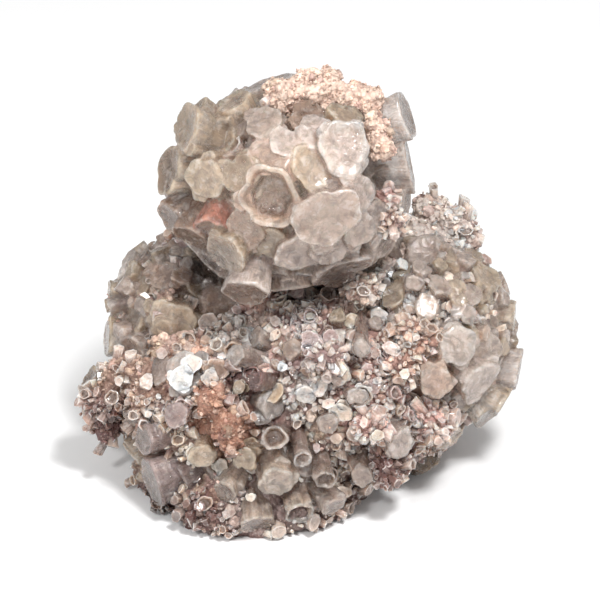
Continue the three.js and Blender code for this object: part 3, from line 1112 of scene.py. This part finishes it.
class Shader:
    """A material and its nodes."""

    def __init__(self, name):
        self.material = bpy.data.materials.new(name)
        self.material.use_nodes = True
        self.tree = self.material.node_tree
        self.tree.nodes.clear()

    def node(self, kind, settings=None, *values, output=0, **named):
        """Adds a node: settings first, then inputs in order, skipping None, then named inputs."""
        made = self.tree.nodes.new(kind)
        for label, setting in (settings or {}).items():
            setattr(made, label, setting)
        shown = [socket for socket in made.inputs if socket.enabled]
        for socket, value in zip(shown, values):
            self.feed(socket, value)
        for label, value in named.items():
            self.feed(made.inputs[label.replace("_", " ")], value)
        visible = [socket for socket in made.outputs if socket.enabled]
        return Value(self, visible[output])

    def feed(self, socket, value):
        if isinstance(value, Value):
            self.tree.links.new(value.socket, socket)
        elif value is not None:
            socket.default_value = value

    def attribute(self, name, output=1):
        return self.node("ShaderNodeAttribute", {"attribute_name": name}, output=output)

    def split(self, vector):
        """The three numbers of a vector."""
        return [self.node("ShaderNodeSeparateXYZ", None, vector, output=i) for i in range(3)]

    def noise(self, vector, scale, detail=2.0, roughness=0.5, distortion=0.0):
        settings = {"noise_dimensions": "3D"}
        values = (vector, scale, detail, roughness)
        return self.node("ShaderNodeTexNoise", settings, *values, Distortion=distortion)

    def voronoi(self, vector, scale, output=0):
        return self.node("ShaderNodeTexVoronoi", None, vector, output=output, Scale=scale)

    def grey(self, value):
        """A colour with the same value in all three channels."""
        return self.node("ShaderNodeCombineColor", None, value, value, value)

    def between(self, value, low, high, to_low=0.0, to_high=1.0):
        """A number moved from one range to another, and kept inside it."""
        settings = {"interpolation_type": "SMOOTHSTEP"}
        return self.node("ShaderNodeMapRange", settings, value, low, high, to_low, to_high)

    def mix(self, factor, first, second, blend="MIX"):
        """A colour between two others, or two colours blended."""
        settings = {"data_type": "RGBA", "blend_type": blend}
        return self.node("ShaderNodeMix", settings, factor, first, second)

    def shaded(self, colour, value):
        """A colour multiplied by a number."""
        return self.mix(1.0, colour, self.grey(value), "MULTIPLY")

    def stretched(self, vector, factors):
        settings = {"operation": "MULTIPLY"}
        return self.node("ShaderNodeVectorMath", settings, vector, factors)

    def place(self):
        """Where a point is on the piece."""
        return self.node("ShaderNodeTexCoord", output=3)

    def bump(self, height, strength, distance, normal=None):
        inputs = {"Strength": strength, "Distance": distance, "Height": height, "Normal": normal}
        return self.node("ShaderNodeBump", **inputs)

    def principled(self, colour, roughness, normal, **constants):
        """The Principled shader: what varies, then what is the same all over."""
        inputs = {"Base_Color": colour, "Roughness": roughness, "Normal": normal, **constants}
        return self.node("ShaderNodeBsdfPrincipled", **inputs)

    def finish(self, shader):
        """Ends the material with that shader on the surface."""
        out = self.tree.nodes.new("ShaderNodeOutputMaterial")
        self.tree.links.new(shader.socket, out.inputs["Surface"])
        return self.material


def opaque(colour):
    return (*colour, 1.0)


def paint(*value):
    """An opaque colour given as screen values."""
    return opaque(srgb(*value))


def crystal_material(name, root, grit, clear, depth):
    """Milky translucent crystal mixed with clear: streaked and ribbed lengthwise, stained towards
    its root, with a painted glow, white as frost, along the rim of each end and painted shade in
    its hollows.

    root is how far up the stain reaches, grit how strong its specks are, clear the least and most
    of it that is clear crystal, and depth how far light goes under the surface, in millimetres.
    """
    s = Shader(name)
    tint = s.attribute("tint", output=0)
    along, rim, chance = s.split(s.attribute("growth"))
    local = s.attribute("local")
    place = s.place()
    streaks = s.noise(s.stretched(local, (1.7, 0.1, 1.7)), 1.0, 4.0, 0.65)
    bands = s.noise(s.stretched(local, (0.12, 1.6, 0.12)), 1.0, 3.0, 0.6)
    clouds = s.noise(local, 0.42, 4.0, 0.65, 0.6)
    wrinkles = s.noise(place, 600.0, 3.0, 0.6, 0.4)
    frostwork = s.noise(place, 1900.0, 3.0, 0.7, 0.5)
    stain, frost_and_glow = paint(112, 70, 60), paint(250, 244, 238)
    tan, brown, rusty = paint(152, 132, 116), paint(108, 84, 68), paint(104, 70, 60)
    sided = s.between(along, 0.93, 0.985, 1.0, 0.2)
    grain = (streaks - 0.5) * sided
    rooty = s.between(along, 0.0, root, 0.6 + grit, 0.0) + s.between(clouds, 0.58, 0.78, 0.0, 0.2)
    # Painted light: lighter towards the rim of each end, so its middle and the sides stay darker.
    middle = s.between(rim, 0.3, 0.95)
    lines = s.between(s.noise(s.stretched(local, (2.6, 0.05, 2.6)), 1.0, 2.0, 0.5), 0.4, 0.6)
    ribs = (lines - 0.5) * sided
    shade = 0.59 + 0.6 * grain + 0.16 * ribs + 0.12 * bands + 0.24 * clouds
    shade = shade + 0.2 * middle + (0.02 + 0.8 * grit) * frostwork
    toned = s.shaded(tint, shade)
    deep = s.mix(s.between(wrinkles, 0.48, 0.3, 0.0, 0.24), toned, tan)
    stained = s.mix(rooty * s.between(chance, 0.0, 1.0, 0.5, 1.0), deep, stain)
    # Painted shade in a cup's dish and on a prism's end, towards brown.
    recess_shade = s.mix(s.between(rim, 0.0, -0.9, 0.0, 0.7), stained, brown)
    dusty = s.mix(s.between(frostwork, 0.44, 0.3, 0.0, grit), recess_shade, rusty)
    milky = s.mix(s.between(wrinkles, 0.52, 0.72, 0.0, 0.25 + 0.4 * grit), dusty, frost_and_glow)
    # Painted glow along the thin rim of each end, towards the frost white.
    edge = s.between(rim, 0.9, 0.985, 0.0, 1.1 - grit) * s.between(wrinkles, 0.4, 0.54)
    rim_glow = s.mix(edge, milky, frost_and_glow)
    roughness = s.between(wrinkles, 0.35, 0.65, 0.06, 0.32)
    fine = s.bump(grain + 0.3 * ribs + 0.4 * frostwork, 0.6, 0.3 * MM)
    wavy = s.bump(wrinkles, 0.35, 0.6 * MM, fine)
    normal = s.bump(bands, 0.3, 0.3 * MM, wavy)
    milk = s.principled(
        rim_glow,
        roughness,
        normal,
        IOR=1.6,
        Coat_Weight=0.6,
        Coat_Roughness=0.05,
        Subsurface_Weight=0.9,
        Subsurface_Scale=depth * MM,
        Subsurface_Radius=(1.0, 0.85, 0.72),
    )
    white = opaque((0.97, 0.95, 0.92))
    glass = s.principled(white, 0.07, normal, IOR=1.55, Transmission_Weight=1.0)
    share = s.between(clouds, 0.35, 0.65, *clear)
    return s.finish(s.node("ShaderNodeMixShader", None, share, milk, glass))


def crust_material(name):
    """Sugary stained crust and crumbs, in grains, with painted shade where the rock falls back."""
    s = Shader(name)
    tint = s.attribute("tint", output=0)
    relief = s.split(s.attribute("growth"))[0]
    place = s.place()
    grains = s.noise(place, 2200.0, 3.0, 0.7)
    patches = s.noise(place, 420.0, 3.0, 0.6)
    gap = s.voronoi(place, 1050.0)
    own = s.split(s.voronoi(place, 1050.0, output=1))[0]
    pale, red, deep = paint(244, 226, 212), paint(96, 58, 48), paint(60, 38, 36)
    toned = s.shaded(tint, 0.58 + 0.45 * grains + 0.24 * patches + 0.2 * own)
    sugar = s.mix(s.between(grains, 0.56, 0.7, 0.0, 0.35), toned, pale)
    cracked = s.mix(s.between(gap, 0.45, 0.85, 0.0, 0.4), sugar, red)
    dark = s.mix(s.between(patches, 0.3, 0.44, 0.4, 0.0), cracked, red)
    # Painted shade in the rock's pits, where its relief is low, towards deep.
    recess_shade = s.mix(s.between(relief, 0.55, 0.25, 0.0, 0.85), dark, deep)
    roughness = s.between(grains, 0.3, 0.7, 0.75, 0.45)
    fine = s.bump(grains, 0.6, 0.25 * MM)
    normal = s.bump(1.0 - gap, 0.8, 0.5 * MM, fine)
    crust = s.principled(
        recess_shade,
        roughness,
        normal,
        IOR=1.55,
        Subsurface_Weight=0.15,
        Subsurface_Scale=0.8 * MM,
        Subsurface_Radius=(1.0, 0.6, 0.45),
    )
    return s.finish(crust)


# Each crystal material's root, grit, clear and depth.
CRYSTAL_LOOKS = {
    "aragonite_crystal": (0.75, 0.14, (0.36, 0.72), 6.0),
    "aragonite_druse": (0.8, 0.45, (0.06, 0.45), 1.6),
}


def shared(name):
    """A material by name, made when it is first asked for."""
    found = bpy.data.materials.get(name)
    if found:
        return found
    if name in CRYSTAL_LOOKS:
        return crystal_material(name, *CRYSTAL_LOOKS[name])
    return crust_material(name)


# ---- Colouring by place -----------------------------------------------------------------------


def mottled(points, scale, seed):
    """Smooth noise from 0 to 1 at each point."""
    shift = Vector((seed * 13.7, seed * 5.1, seed * 9.3))
    return np.array([0.5 + 0.5 * noise.noise(Vector(p) * scale + shift) for p in points])


def zone_look(points):
    """The tint and the share of crust at each point: as the zones say on the front, and as
    mottled noise says elsewhere."""
    wide, odd = mottled(points, 0.09, 1), mottled(points, 0.14, 2)
    grounds = palette(GROUND_TINTS)
    row = np.clip((odd - 0.25) * 2 * len(grounds), 0, len(grounds) - 1).astype(int)
    looks, shares = [grounds[row]], [smooth(0.42, 0.62, wide)]
    weights = [np.full(len(points), 0.14)]
    front = frontness(points)
    for *spot, tint, share in ZONES:
        weights.append(front * np.exp(-2.2 * gap_to(points, *spot) ** 2))
        looks.append(np.broadcast_to(tint_of(tint), looks[0].shape))
        shares.append(np.full(len(points), share))
    weights = np.array(weights)
    weights = weights**2 / (weights**2).sum(axis=0)
    blended = (weights[:, :, None] * np.array(looks)).sum(axis=0)
    return blended, (weights * np.array(shares)).sum(axis=0)


# ---- Pieces -----------------------------------------------------------------------------------


def ball(radius, middle):
    bpy.ops.mesh.primitive_ico_sphere_add(
        subdivisions=4, radius=radius * MM, location=tuple(m * MM for m in middle)
    )
    return bpy.context.object


def rough_up(rock, label, kind, size, strength):
    """Pushes the surface in and out by a cloud pattern of that size, in millimetres."""
    pattern = bpy.data.textures.new(label, kind)
    pattern.noise_scale = size * MM
    modify(
        rock, "DISPLACE", texture=pattern, texture_coords="LOCAL", strength=strength, mid_level=0.5
    )


def build_rock(nodules):
    """The rock that joins the bursts, with the nodules of crust on it."""
    start_piece()
    parts = [ball(burst["core"], burst["middle"]) for burst in BURSTS]
    for middle, half in ROCK:
        lump = ball(1, middle)
        lump.scale = half
        parts.append(lump)
    parts += [ball(row["size"] * 0.95, row["tip"]) for row in nodules]
    for part in parts:
        part.select_set(True)
    bpy.ops.object.transform_apply(location=True, rotation=True, scale=True)
    bpy.ops.object.join()
    rock = bpy.context.object
    rock.name = "rock"
    modify(rock, "REMESH", mode="VOXEL", voxel_size=sizes().rock_grid)
    smoothly = read_points(rock)
    normals = read_rows(rock.data.vertex_normals)
    lumps = sizes().rock_lumps
    rough_up(rock, "lumps", "VORONOI", 5.0, -lumps)
    rough_up(rock, "pits", "CLOUDS", 1.3, lumps * 0.4)
    rise = ((read_points(rock) - smoothly) * normals).sum(axis=1)
    relief = np.clip(0.5 + rise * MM / lumps, 0, 1)
    # The relief also sets where the crust material paints shade in the pits.
    set_attributes(rock, {"growth": np.stack([relief, relief, relief], axis=1)})
    level_off()
    return rock


def milkiness(points):
    """How far each point of the rock lies under clear crystals, away from the crust."""
    front = frontness(points)
    crusted = np.zeros(len(points))
    for *spot, tint, share in ZONES:
        if share >= 0.6 or tint == "hollow":
            crusted = np.maximum(crusted, front * smooth(1.3, 0.7, gap_to(points, *spot)))
    milk = np.zeros(len(points))
    for burst in BURSTS:
        reach = np.linalg.norm(points - np.array(burst["middle"], float), axis=1)
        near = smooth(burst["core"] + 4, burst["core"] + 2.5, reach)
        milk = np.maximum(milk, MILKY.get(burst["name"], 0) * near)
    return milk * (1 - crusted)


def colour_rock(rock):
    """Stained rock with painted shade where it is deep, the zones' tints where crust covers it, and
    milky rock under the clear crystals."""
    points = read_points(rock)
    tints, crust = zone_look(points)
    milk = milkiness(points)
    growth = rock.data.attributes["growth"].data
    # Raised relief under crust and milky rock keeps the painted shade of the pits off them.
    raised = read_rows(growth) + np.maximum(0.5 * crust, milk)[:, None]
    growth.foreach_set("vector", raised.ravel())
    share = (0.08 + 0.6 * crust + 0.22 * smooth(0.88, 1.0, crust))[:, None]
    look = mixed(tint_of("core"), mixed(tints, tint_of("stain"), share), milk[:, None])
    colours = np.concatenate([look, np.ones((len(points), 1))], axis=1)
    dress(rock, {"tint": colours}, "stained_crust")


def triangles_of(name):
    """A piece's points in millimetres and its triangles."""
    piece = bpy.data.objects[name]
    faces = np.zeros(3 * len(piece.data.polygons), int)
    piece.data.polygons.foreach_get("vertices", faces)
    return read_points(piece), faces.reshape(-1, 3)


def relief_of(name):
    """How far each point of a piece stands out, from 0 to 1: the rock's own, or high."""
    mesh = bpy.data.objects[name].data
    if name != "rock":
        return np.full(len(mesh.vertices), 0.8)
    return read_rows(mesh.attributes["growth"].data)[:, 0]


def surface_samples(names, count, seed):
    """Points spread over pieces by area, the way out at each and how far it stands out."""
    pieces = [triangles_of(name) for name in names]
    relief = np.concatenate([relief_of(name) for name in names])
    starts = np.cumsum([0] + [len(points) for points, _ in pieces])
    points = np.concatenate([points for points, _ in pieces])
    faces = np.concatenate([faces + start for (_, faces), start in zip(pieces, starts)])
    corners = points[faces]
    normals = np.cross(corners[:, 1] - corners[:, 0], corners[:, 2] - corners[:, 0])
    areas = np.linalg.norm(normals, axis=1)
    chooser = np.random.default_rng(seed)
    chosen = chooser.choice(len(faces), count, p=areas / areas.sum())
    a, b = chooser.random((2, count, 1))
    inside = a + b > 1
    a, b = np.where(inside, 1 - a, a), np.where(inside, 1 - b, b)
    c = corners[chosen]
    places = c[:, 0] + (c[:, 1] - c[:, 0]) * a + (c[:, 2] - c[:, 0]) * b
    outward = normals[chosen] / areas[chosen][:, None]
    return places, outward, relief[faces[chosen]].mean(axis=1)


def clear_of_crystals(places, crystals, share):
    """Whether each place is outside the large crystals that stand there."""
    clear = np.ones(len(places), bool)
    for crystal in crystals:
        reach = places - crystal["tip"]
        along = -(reach @ crystal["axis"])
        off = np.linalg.norm(reach + crystal["axis"] * along[:, None], axis=1)
        inside = (along > -0.5) & (along < crystal["length"]) & (off < share * crystal["width"])
        clear &= ~inside
    return clear


def thinned(places, gaps):
    """Which places to keep so that each has its own gap to those kept before it."""
    cell = gaps.max()
    kept, grid = [], {}
    for index, place in enumerate(places):
        key = tuple((place // cell).astype(int))
        near = [
            other
            for dx, dy, dz in itertools.product((-1, 0, 1), repeat=3)
            for other in grid.get((key[0] + dx, key[1] + dy, key[2] + dz), ())
        ]
        if all(np.linalg.norm(places[o] - place) > (gaps[o] + gaps[index]) / 2 for o in near):
            kept.append(index)
            grid.setdefault(key, []).append(index)
    return np.array(kept)


def on_rock(right, up, tree):
    """The rock's surface point that the front view shows at right and up."""
    start = (RIGHT * right + UP * up + NEAR * 200) * MM
    hit, _, _, _ = tree.ray_cast(Vector(start), Vector(-NEAR))
    return None if hit is None else np.array(hit) / MM


def small_listed(draw):
    """The smaller crystals that are listed one by one, standing on the rock."""
    points, faces = triangles_of("rock")
    tree = BVHTree.FromPolygons((points * MM).tolist(), faces.tolist())
    rows = []
    for right, up, width, rise, end, lean_right, lean_up, tint in SMALL:
        foot = on_rock(right, up, tree)
        if foot is None:
            continue
        axis = unit(seen((lean_right, lean_up, 1)))
        row = {
            "tip": foot + NEAR * rise,
            "axis": axis,
            "width": width,
            "length": rise + 2.5,
            "end": end,
            "tint": tint,
            "turn": turn_of(axis, draw),
            "squash": draw(0.9, 1.12),
        }
        rows.append(row)
    return rows


def small_spread(listed, draw):
    """Smaller crystals spread over the lumps on the front of the mound."""
    crystals, _ = large_crystals()
    places, outward, relief = surface_samples(["rock"], SMALL_TRIES, SEED + 9)
    up, near = places @ UP, places @ NEAR
    wanted = (relief > 0.5) & (near > 12) & (up < 34) & (places[:, 2] > 2)
    wanted &= clear_of_crystals(places, crystals, 0.5)
    places, outward = only(wanted, places, outward)
    tints, _ = zone_look(places)
    standing = Standing(listed)
    milk = palette(SMALL_TINTS)
    rows = []
    for place, out, tint in zip(places, outward, tints):
        width = draw(1.9, 3.6)
        axis = unit(out + NEAR * 0.3 + draw.vector() * 0.5)
        rise = draw(1.2, 3.0)
        tip = place + axis * rise
        if len(rows) >= sizes().small_count or standing.crowded(tip, width, 0.95):
            continue
        standing.take(tip, width)
        turn = turn_of(axis, draw)
        share = draw(0.0, 0.5)
        look = mixed(tint, draw.pick(milk), share)
        row = {
            "tip": tip,
            "axis": axis,
            "width": width,
            "length": rise + 2.0,
            "end": CUP if draw() < 0.5 else FLAT,
            "tint": np.clip(look * draw(0.85, 1.1), 0, 1),
            "turn": turn,
            "squash": draw(0.85, 1.18),
            "slope": 0.3,
        }
        rows.append(row)
    return rows


class SPECIMEN_OT_rock(bpy.types.Operator):
    """Builds the rock and the nodules of crust"""

    bl_idname = "specimen.rock"
    bl_label = "Rock"

    def execute(self, context):
        _, nodules = large_crystals()
        colour_rock(build_rock(nodules))
        return {"FINISHED"}


class SPECIMEN_OT_crystals(bpy.types.Operator):
    """Stands the large twins on the rock, grown into one body where they crowd"""

    bl_idname = "specimen.crystals"
    bl_label = "Large Crystals"

    def execute(self, context):
        steps = (0.15, 0.34, 0.58)
        models = {end: twin_model(36, end, steps) for end in (FLAT, CUP, PRISM)}
        draw = Draw(SEED + 1)
        crystals, nodules = large_crystals()
        standing = Standing(crystals + nodules)
        groups = {name: Gathered() for name in BODIES}
        for burst in BURSTS:
            body = next(name for name, (bursts, _, _) in BODIES.items() if burst["name"] in bursts)
            own = [row for row in crystals if row["burst"] == burst["name"]]
            if burst["name"] in FILLED:
                own += fillers(burst, standing, draw)
            listed, spread = SWELL.get(burst["name"], USUAL_SWELL)
            for crystal in own:
                crowded = crystal["tint"] is None and crystal["tip"] @ NEAR > FRONT
                grow(crystal, models, steps, groups[body], spread if crowded else listed)
        for body, (bursts, grid, most) in BODIES.items():
            own = [burst for burst in BURSTS if burst["name"] in bursts]
            balls = [(burst["core"] - SHY, burst["middle"]) for burst in own]
            fused_piece(body, groups[body], balls, grid * MM, most)
        return {"FINISHED"}


class SPECIMEN_OT_small_crystals(bpy.types.Operator):
    """Stands smaller twins on the front of the mound"""

    bl_idname = "specimen.small_crystals"
    bl_label = "Small Crystals"

    def execute(self, context):
        steps = (0.3,)
        models = {end: twin_model(20, end, steps) for end in (FLAT, CUP)}
        draw = Draw(SEED + 7)
        group = Gathered()
        listed = small_listed(draw)
        for crystal in listed:
            grow(crystal, models, steps, group, 1.0)
        plain = {end: twin_model(16, end, ()) for end in (FLAT, CUP)}
        for crystal in small_spread(listed, draw):
            model = plain[crystal["end"]]
            points, growth, local = grown_copy(model, crystal, draw, ())
            if points[:, 2].min() > LOWEST:
                group.add(points, model[1], crystal["tint"], growth, local)
        finished_piece("small_crystals", group, "aragonite_druse", 38)
        return {"FINISHED"}


class SPECIMEN_OT_druse(bpy.types.Operator):
    """Covers the rock between the large crystals with small ones"""

    bl_idname = "specimen.druse"
    bl_label = "Druse"

    def execute(self, context):
        draw = Draw(SEED + 2)
        crystals, _ = large_crystals()
        places, outward, relief = surface_samples(["rock"], sizes().druse_count, SEED)
        clear = (places[:, 2] > 1.2) & (relief > 0.25) & clear_of_crystals(places, crystals, 0.36)
        places, outward, relief = only(clear, places, outward, relief)
        tints, crust = zone_look(places)
        low, high = (value / MM for value in sizes().druse_width)
        spread = np.array([draw() for _ in places])
        widths = low + (high - low) * spread**2.4 * (1 - 0.4 * crust) * (0.5 + 0.6 * relief)
        models = {end: druse_model(end) for end in (FLAT, CUP, PRISM)}
        spots = [smooth(1.0, 0.6, gap_to(places, *spot)) for spot in OPEN]
        bare = np.maximum.reduce(spots) * smooth(2, 8, places @ NEAR)
        halves = {"druse_front": Gathered(), "druse_back": Gathered()}
        milk = palette(DRUSE_TINTS)
        for index in thinned(places, widths * 0.68):
            if draw() < max(smooth(0.5, 0.95, crust[index]), 0.8 * bare[index]):
                continue
            axis = unit(outward[index] + draw.vector() * 0.65)
            width = widths[index]
            rise = width * draw(0.3, 1.2) + draw(0, 0.6)
            row = {
                "tip": places[index] + axis * rise,
                "axis": axis,
                "width": width,
                "length": rise + 1.4,
                "turn": turn_of(axis, draw),
                "squash": draw(0.8, 1.25),
                "slope": 0.45,
                "end": PRISM if width < 1.15 else CUP if draw() < 0.3 else FLAT,
            }
            model = models[row["end"]]
            points, growth, local = grown_copy(model, row, draw, (), 0.04, 0.07)
            if points[:, 2].min() < LOWEST:
                continue
            own = draw.pick(milk)
            share = min(draw(0.1, 0.7) + 2.5 * max(0.3 - tints[index].mean(), 0), 1)
            tint = np.clip(mixed(tints[index], own, share) * draw(0.8, 1.4), 0, 1)
            half = "druse_front" if places[index] @ NEAR > 4 else "druse_back"
            halves[half].add(points, model[1], tint, growth, local)
        for name, gathered in halves.items():
            finished_piece(name, gathered, "aragonite_druse")
        return {"FINISHED"}


def crust_spin(draw):
    turn = Quaternion(Vector(draw.vector()), draw(0, 6.28))
    return np.array(turn.normalized().to_matrix())


def add_crust(group, points, faces, tint):
    """Adds a lump or a crumb, which stands out everywhere."""
    blank = np.ones((len(points), 3))
    group.add(points, faces, np.clip(tint, 0, 1), blank, blank)


class SPECIMEN_OT_lumps(bpy.types.Operator):
    """Heaps lumps of crust on the rock where crust covers it"""

    bl_idname = "specimen.lumps"
    bl_label = "Lumps"

    def execute(self, context):
        draw = Draw(SEED + 12)
        places, outward, relief = surface_samples(["rock"], LUMP_TRIES, SEED + 11)
        clear = clear_of_crystals(places, large_crystals()[0], 0.4) & (places[:, 2] > 2)
        places, outward, relief = only(clear, places, outward, relief)
        tints, crust = zone_look(places)
        chance = smooth(0.25, 0.8, crust) * (0.3 + 0.7 * relief)
        chooser = np.random.default_rng(SEED + 13)
        wanted = chooser.random(len(places)) < chance
        places, outward, tints = only(wanted, places, outward, tints)
        low, high = (value / MM for value in sizes().lump_width)
        widths = low + (high - low) * chooser.random(len(places)) ** 2.2
        model, faces = lump_model()
        sprinkle = palette(CRUST_TINTS)
        lumps = Gathered()
        for index in thinned(places, widths * 0.62)[: sizes().lump_count]:
            width = widths[index]
            scale = draw.each((0.7, 1.3), (0.7, 1.2), (0.6, 1.1)) * width
            middle = places[index] + outward[index] * width * draw(-0.25, 0.2)
            points = (model * scale) @ crust_spin(draw).T + middle
            if points[:, 2].min() < LOWEST:
                continue
            own = draw.pick(sprinkle)
            tint = mixed(tints[index], own, draw(0.35, 0.95))
            add_crust(lumps, points, faces, tint * draw(0.68, 1.25))
        finished_piece("lumps", lumps, "stained_crust", 34)
        return {"FINISHED"}


def scattered(names, tries, seed, shyness, bare=None):
    """Places for crumbs, thick where the zones say crust and in clumps, with the tint at each.

    bare is how much of a large crystal's width is kept free of them.
    """
    places, outward, relief = surface_samples(names, tries, seed)
    if bare:
        clear = clear_of_crystals(places, large_crystals()[0], bare)
        places, outward, relief = only(clear, places, outward, relief)
    tints, crust = zone_look(places)
    clumps = smooth(0.42, 0.6, mottled(places, 0.4, 5)) * smooth(0.3, 0.6, relief)
    clumps = np.maximum(clumps, 0.7 * smooth(0.7, 0.95, crust))
    chance = np.clip(crust + 0.15, 0, 1) ** shyness * (0.15 + 0.85 * clumps)
    chooser = np.random.default_rng(seed)
    wanted = (chooser.random(len(places)) < chance) & (places[:, 2] > 0.9) & (outward[:, 2] > -0.6)
    most = sizes().crumb_count // 2
    return [rows[:most] for rows in only(wanted, places, outward, tints)]


class SPECIMEN_OT_crumbs(bpy.types.Operator):
    """Scatters crumbs of crust over the rock and the crystals on it"""

    bl_idname = "specimen.crumbs"
    bl_label = "Crumbs"

    def execute(self, context):
        draw = Draw(SEED + 3)
        crust = ["rock", "lumps"]
        everywhere = [*crust, "druse_front", "druse_back", "left_crystals", "front_crystals"]
        groups = [
            scattered(crust, CRUMB_TRIES[0], SEED + 5, 2.0, 0.42),
            scattered(everywhere, CRUMB_TRIES[1], SEED + 6, 1.2),
        ]
        model, faces = crumb_model()
        low, high = (value / MM for value in sizes().crumb_width)
        sprinkle = palette(CRUST_TINTS)
        crumbs = Gathered()
        for place, out, tint in (row for group in groups for row in zip(*group)):
            width = low + (high - low) * draw() ** 2.5
            spin = crust_spin(draw)
            scale = draw.each((0.5, 1.5), (0.5, 1.3), (0.5, 1.1)) * width
            points = (model * scale) @ spin.T + place + out * width * draw(-0.2, 0.35)
            if points[:, 2].min() < LOWEST:
                continue
            share = draw(0.4, 1.0)
            look = mixed(tint, draw.pick(sprinkle), share)
            add_crust(crumbs, points, faces, look * draw(0.62, 1.2))
        finished_piece("crumbs", crumbs, "stained_crust")
        return {"FINISHED"}


# Where each light hangs and how wide it is, in metres.
LIGHTS = {
    "key": ((0.16, -0.36, 0.62), 0.12),
    "glint": ((-0.22, -0.5, 0.42), 0.06),
    "fill": ((-0.5, -0.35, 0.3), 0.5),
}
FLOOR_SIZE = 8


class SPECIMEN_OT_stage(bpy.types.Operator):
    """Adds the floor, the lights and the camera"""

    bl_idname = "specimen.stage"
    bl_label = "Stage"

    def execute(self, context):
        stage = context.scene.specimen_stage
        self.add_floor(stage)
        self.add_sky(stage)
        for name, (place, size) in LIGHTS.items():
            self.add_light(name, getattr(stage, name), place, size)
        self.add_camera(stage)
        context.scene.view_settings.view_transform = "Standard"
        return {"FINISHED"}

    def add_floor(self, stage):
        start_piece()
        bpy.ops.mesh.primitive_plane_add(size=FLOOR_SIZE)
        floor = bpy.context.object
        floor.name = "floor"
        s = Shader("floor_paint")
        wear = s.noise(s.place(), 3.0, 2.0)
        colour = opaque(stage.floor_colour)
        pale = s.mix(wear, colour, opaque([c * 0.985 for c in stage.floor_colour]))
        paint = s.principled(pale, 0.8, None, Specular_IOR_Level=0.2)
        floor.data.materials.append(s.finish(paint))

    def add_sky(self, stage):
        world = bpy.data.worlds.new("soft_sky")
        world.use_nodes = True
        background = world.node_tree.nodes["Background"]
        background.inputs["Color"].default_value = (1, 1, 1, 1)
        background.inputs["Strength"].default_value = stage.sky
        bpy.context.scene.world = world

    def add_light(self, name, power, place, size):
        bpy.ops.object.light_add(type="AREA", location=place)
        light = bpy.context.object
        light.name = name
        light.data.energy = power
        light.data.size = size
        aim = Vector(bpy.context.scene.specimen_stage.aim) - light.location
        light.rotation_euler = aim.to_track_quat("-Z", "Y").to_euler()

    def add_camera(self, stage):
        lens = bpy.data.cameras.new("camera")
        camera = bpy.data.objects.new("camera", lens)
        bpy.context.collection.objects.link(camera)
        aim = Vector(stage.aim)
        camera.location = aim + Vector(NEAR) * stage.camera_distance
        camera.rotation_euler = Vector(-NEAR).to_track_quat("-Z", "Y").to_euler()
        lens.sensor_fit = "HORIZONTAL"
        lens.angle = 2 * math.atan(stage.view_width / 2 / stage.camera_distance)
        lens.clip_start = 0.01
        bpy.context.scene.camera = camera


class SPECIMEN_PT_panel(bpy.types.Panel):
    """Lists the specimen's pieces and settings"""

    bl_idname = "SPECIMEN_PT_panel"
    bl_label = "Aragonite Specimen"
    bl_space_type = "VIEW_3D"
    bl_region_type = "UI"
    bl_category = "Specimen"

    def draw(self, context):
        for operator in OPERATORS:
            self.layout.operator(operator.bl_idname)
        for group in (
            context.scene.specimen_sizes,
            context.scene.specimen_colours,
            context.scene.specimen_stage,
        ):
            box = self.layout.box()
            for label in group.__annotations__:
                box.prop(group, label)


OPERATORS = (
    SPECIMEN_OT_rock,
    SPECIMEN_OT_crystals,
    SPECIMEN_OT_small_crystals,
    SPECIMEN_OT_druse,
    SPECIMEN_OT_lumps,
    SPECIMEN_OT_crumbs,
    SPECIMEN_OT_stage,
)
GROUPS = (SpecimenSizes, SpecimenColours, SpecimenStage)


def register():
    for cls in (*GROUPS, *OPERATORS, SPECIMEN_PT_panel):
        bpy.utils.register_class(cls)
    bpy.types.Scene.specimen_sizes = PointerProperty(type=SpecimenSizes)
    bpy.types.Scene.specimen_colours = PointerProperty(type=SpecimenColours)
    bpy.types.Scene.specimen_stage = PointerProperty(type=SpecimenStage)


def unregister():
    del bpy.types.Scene.specimen_stage
    del bpy.types.Scene.specimen_colours
    del bpy.types.Scene.specimen_sizes
    for cls in reversed((*GROUPS, *OPERATORS, SPECIMEN_PT_panel)):
        bpy.utils.unregister_class(cls)


def main():
    register()
    bpy.ops.specimen.rock()
    bpy.ops.specimen.crystals()
    bpy.ops.specimen.small_crystals()
    bpy.ops.specimen.druse()
    bpy.ops.specimen.lumps()
    bpy.ops.specimen.crumbs()
    bpy.ops.specimen.stage()


if __name__ == "__main__":
    main()
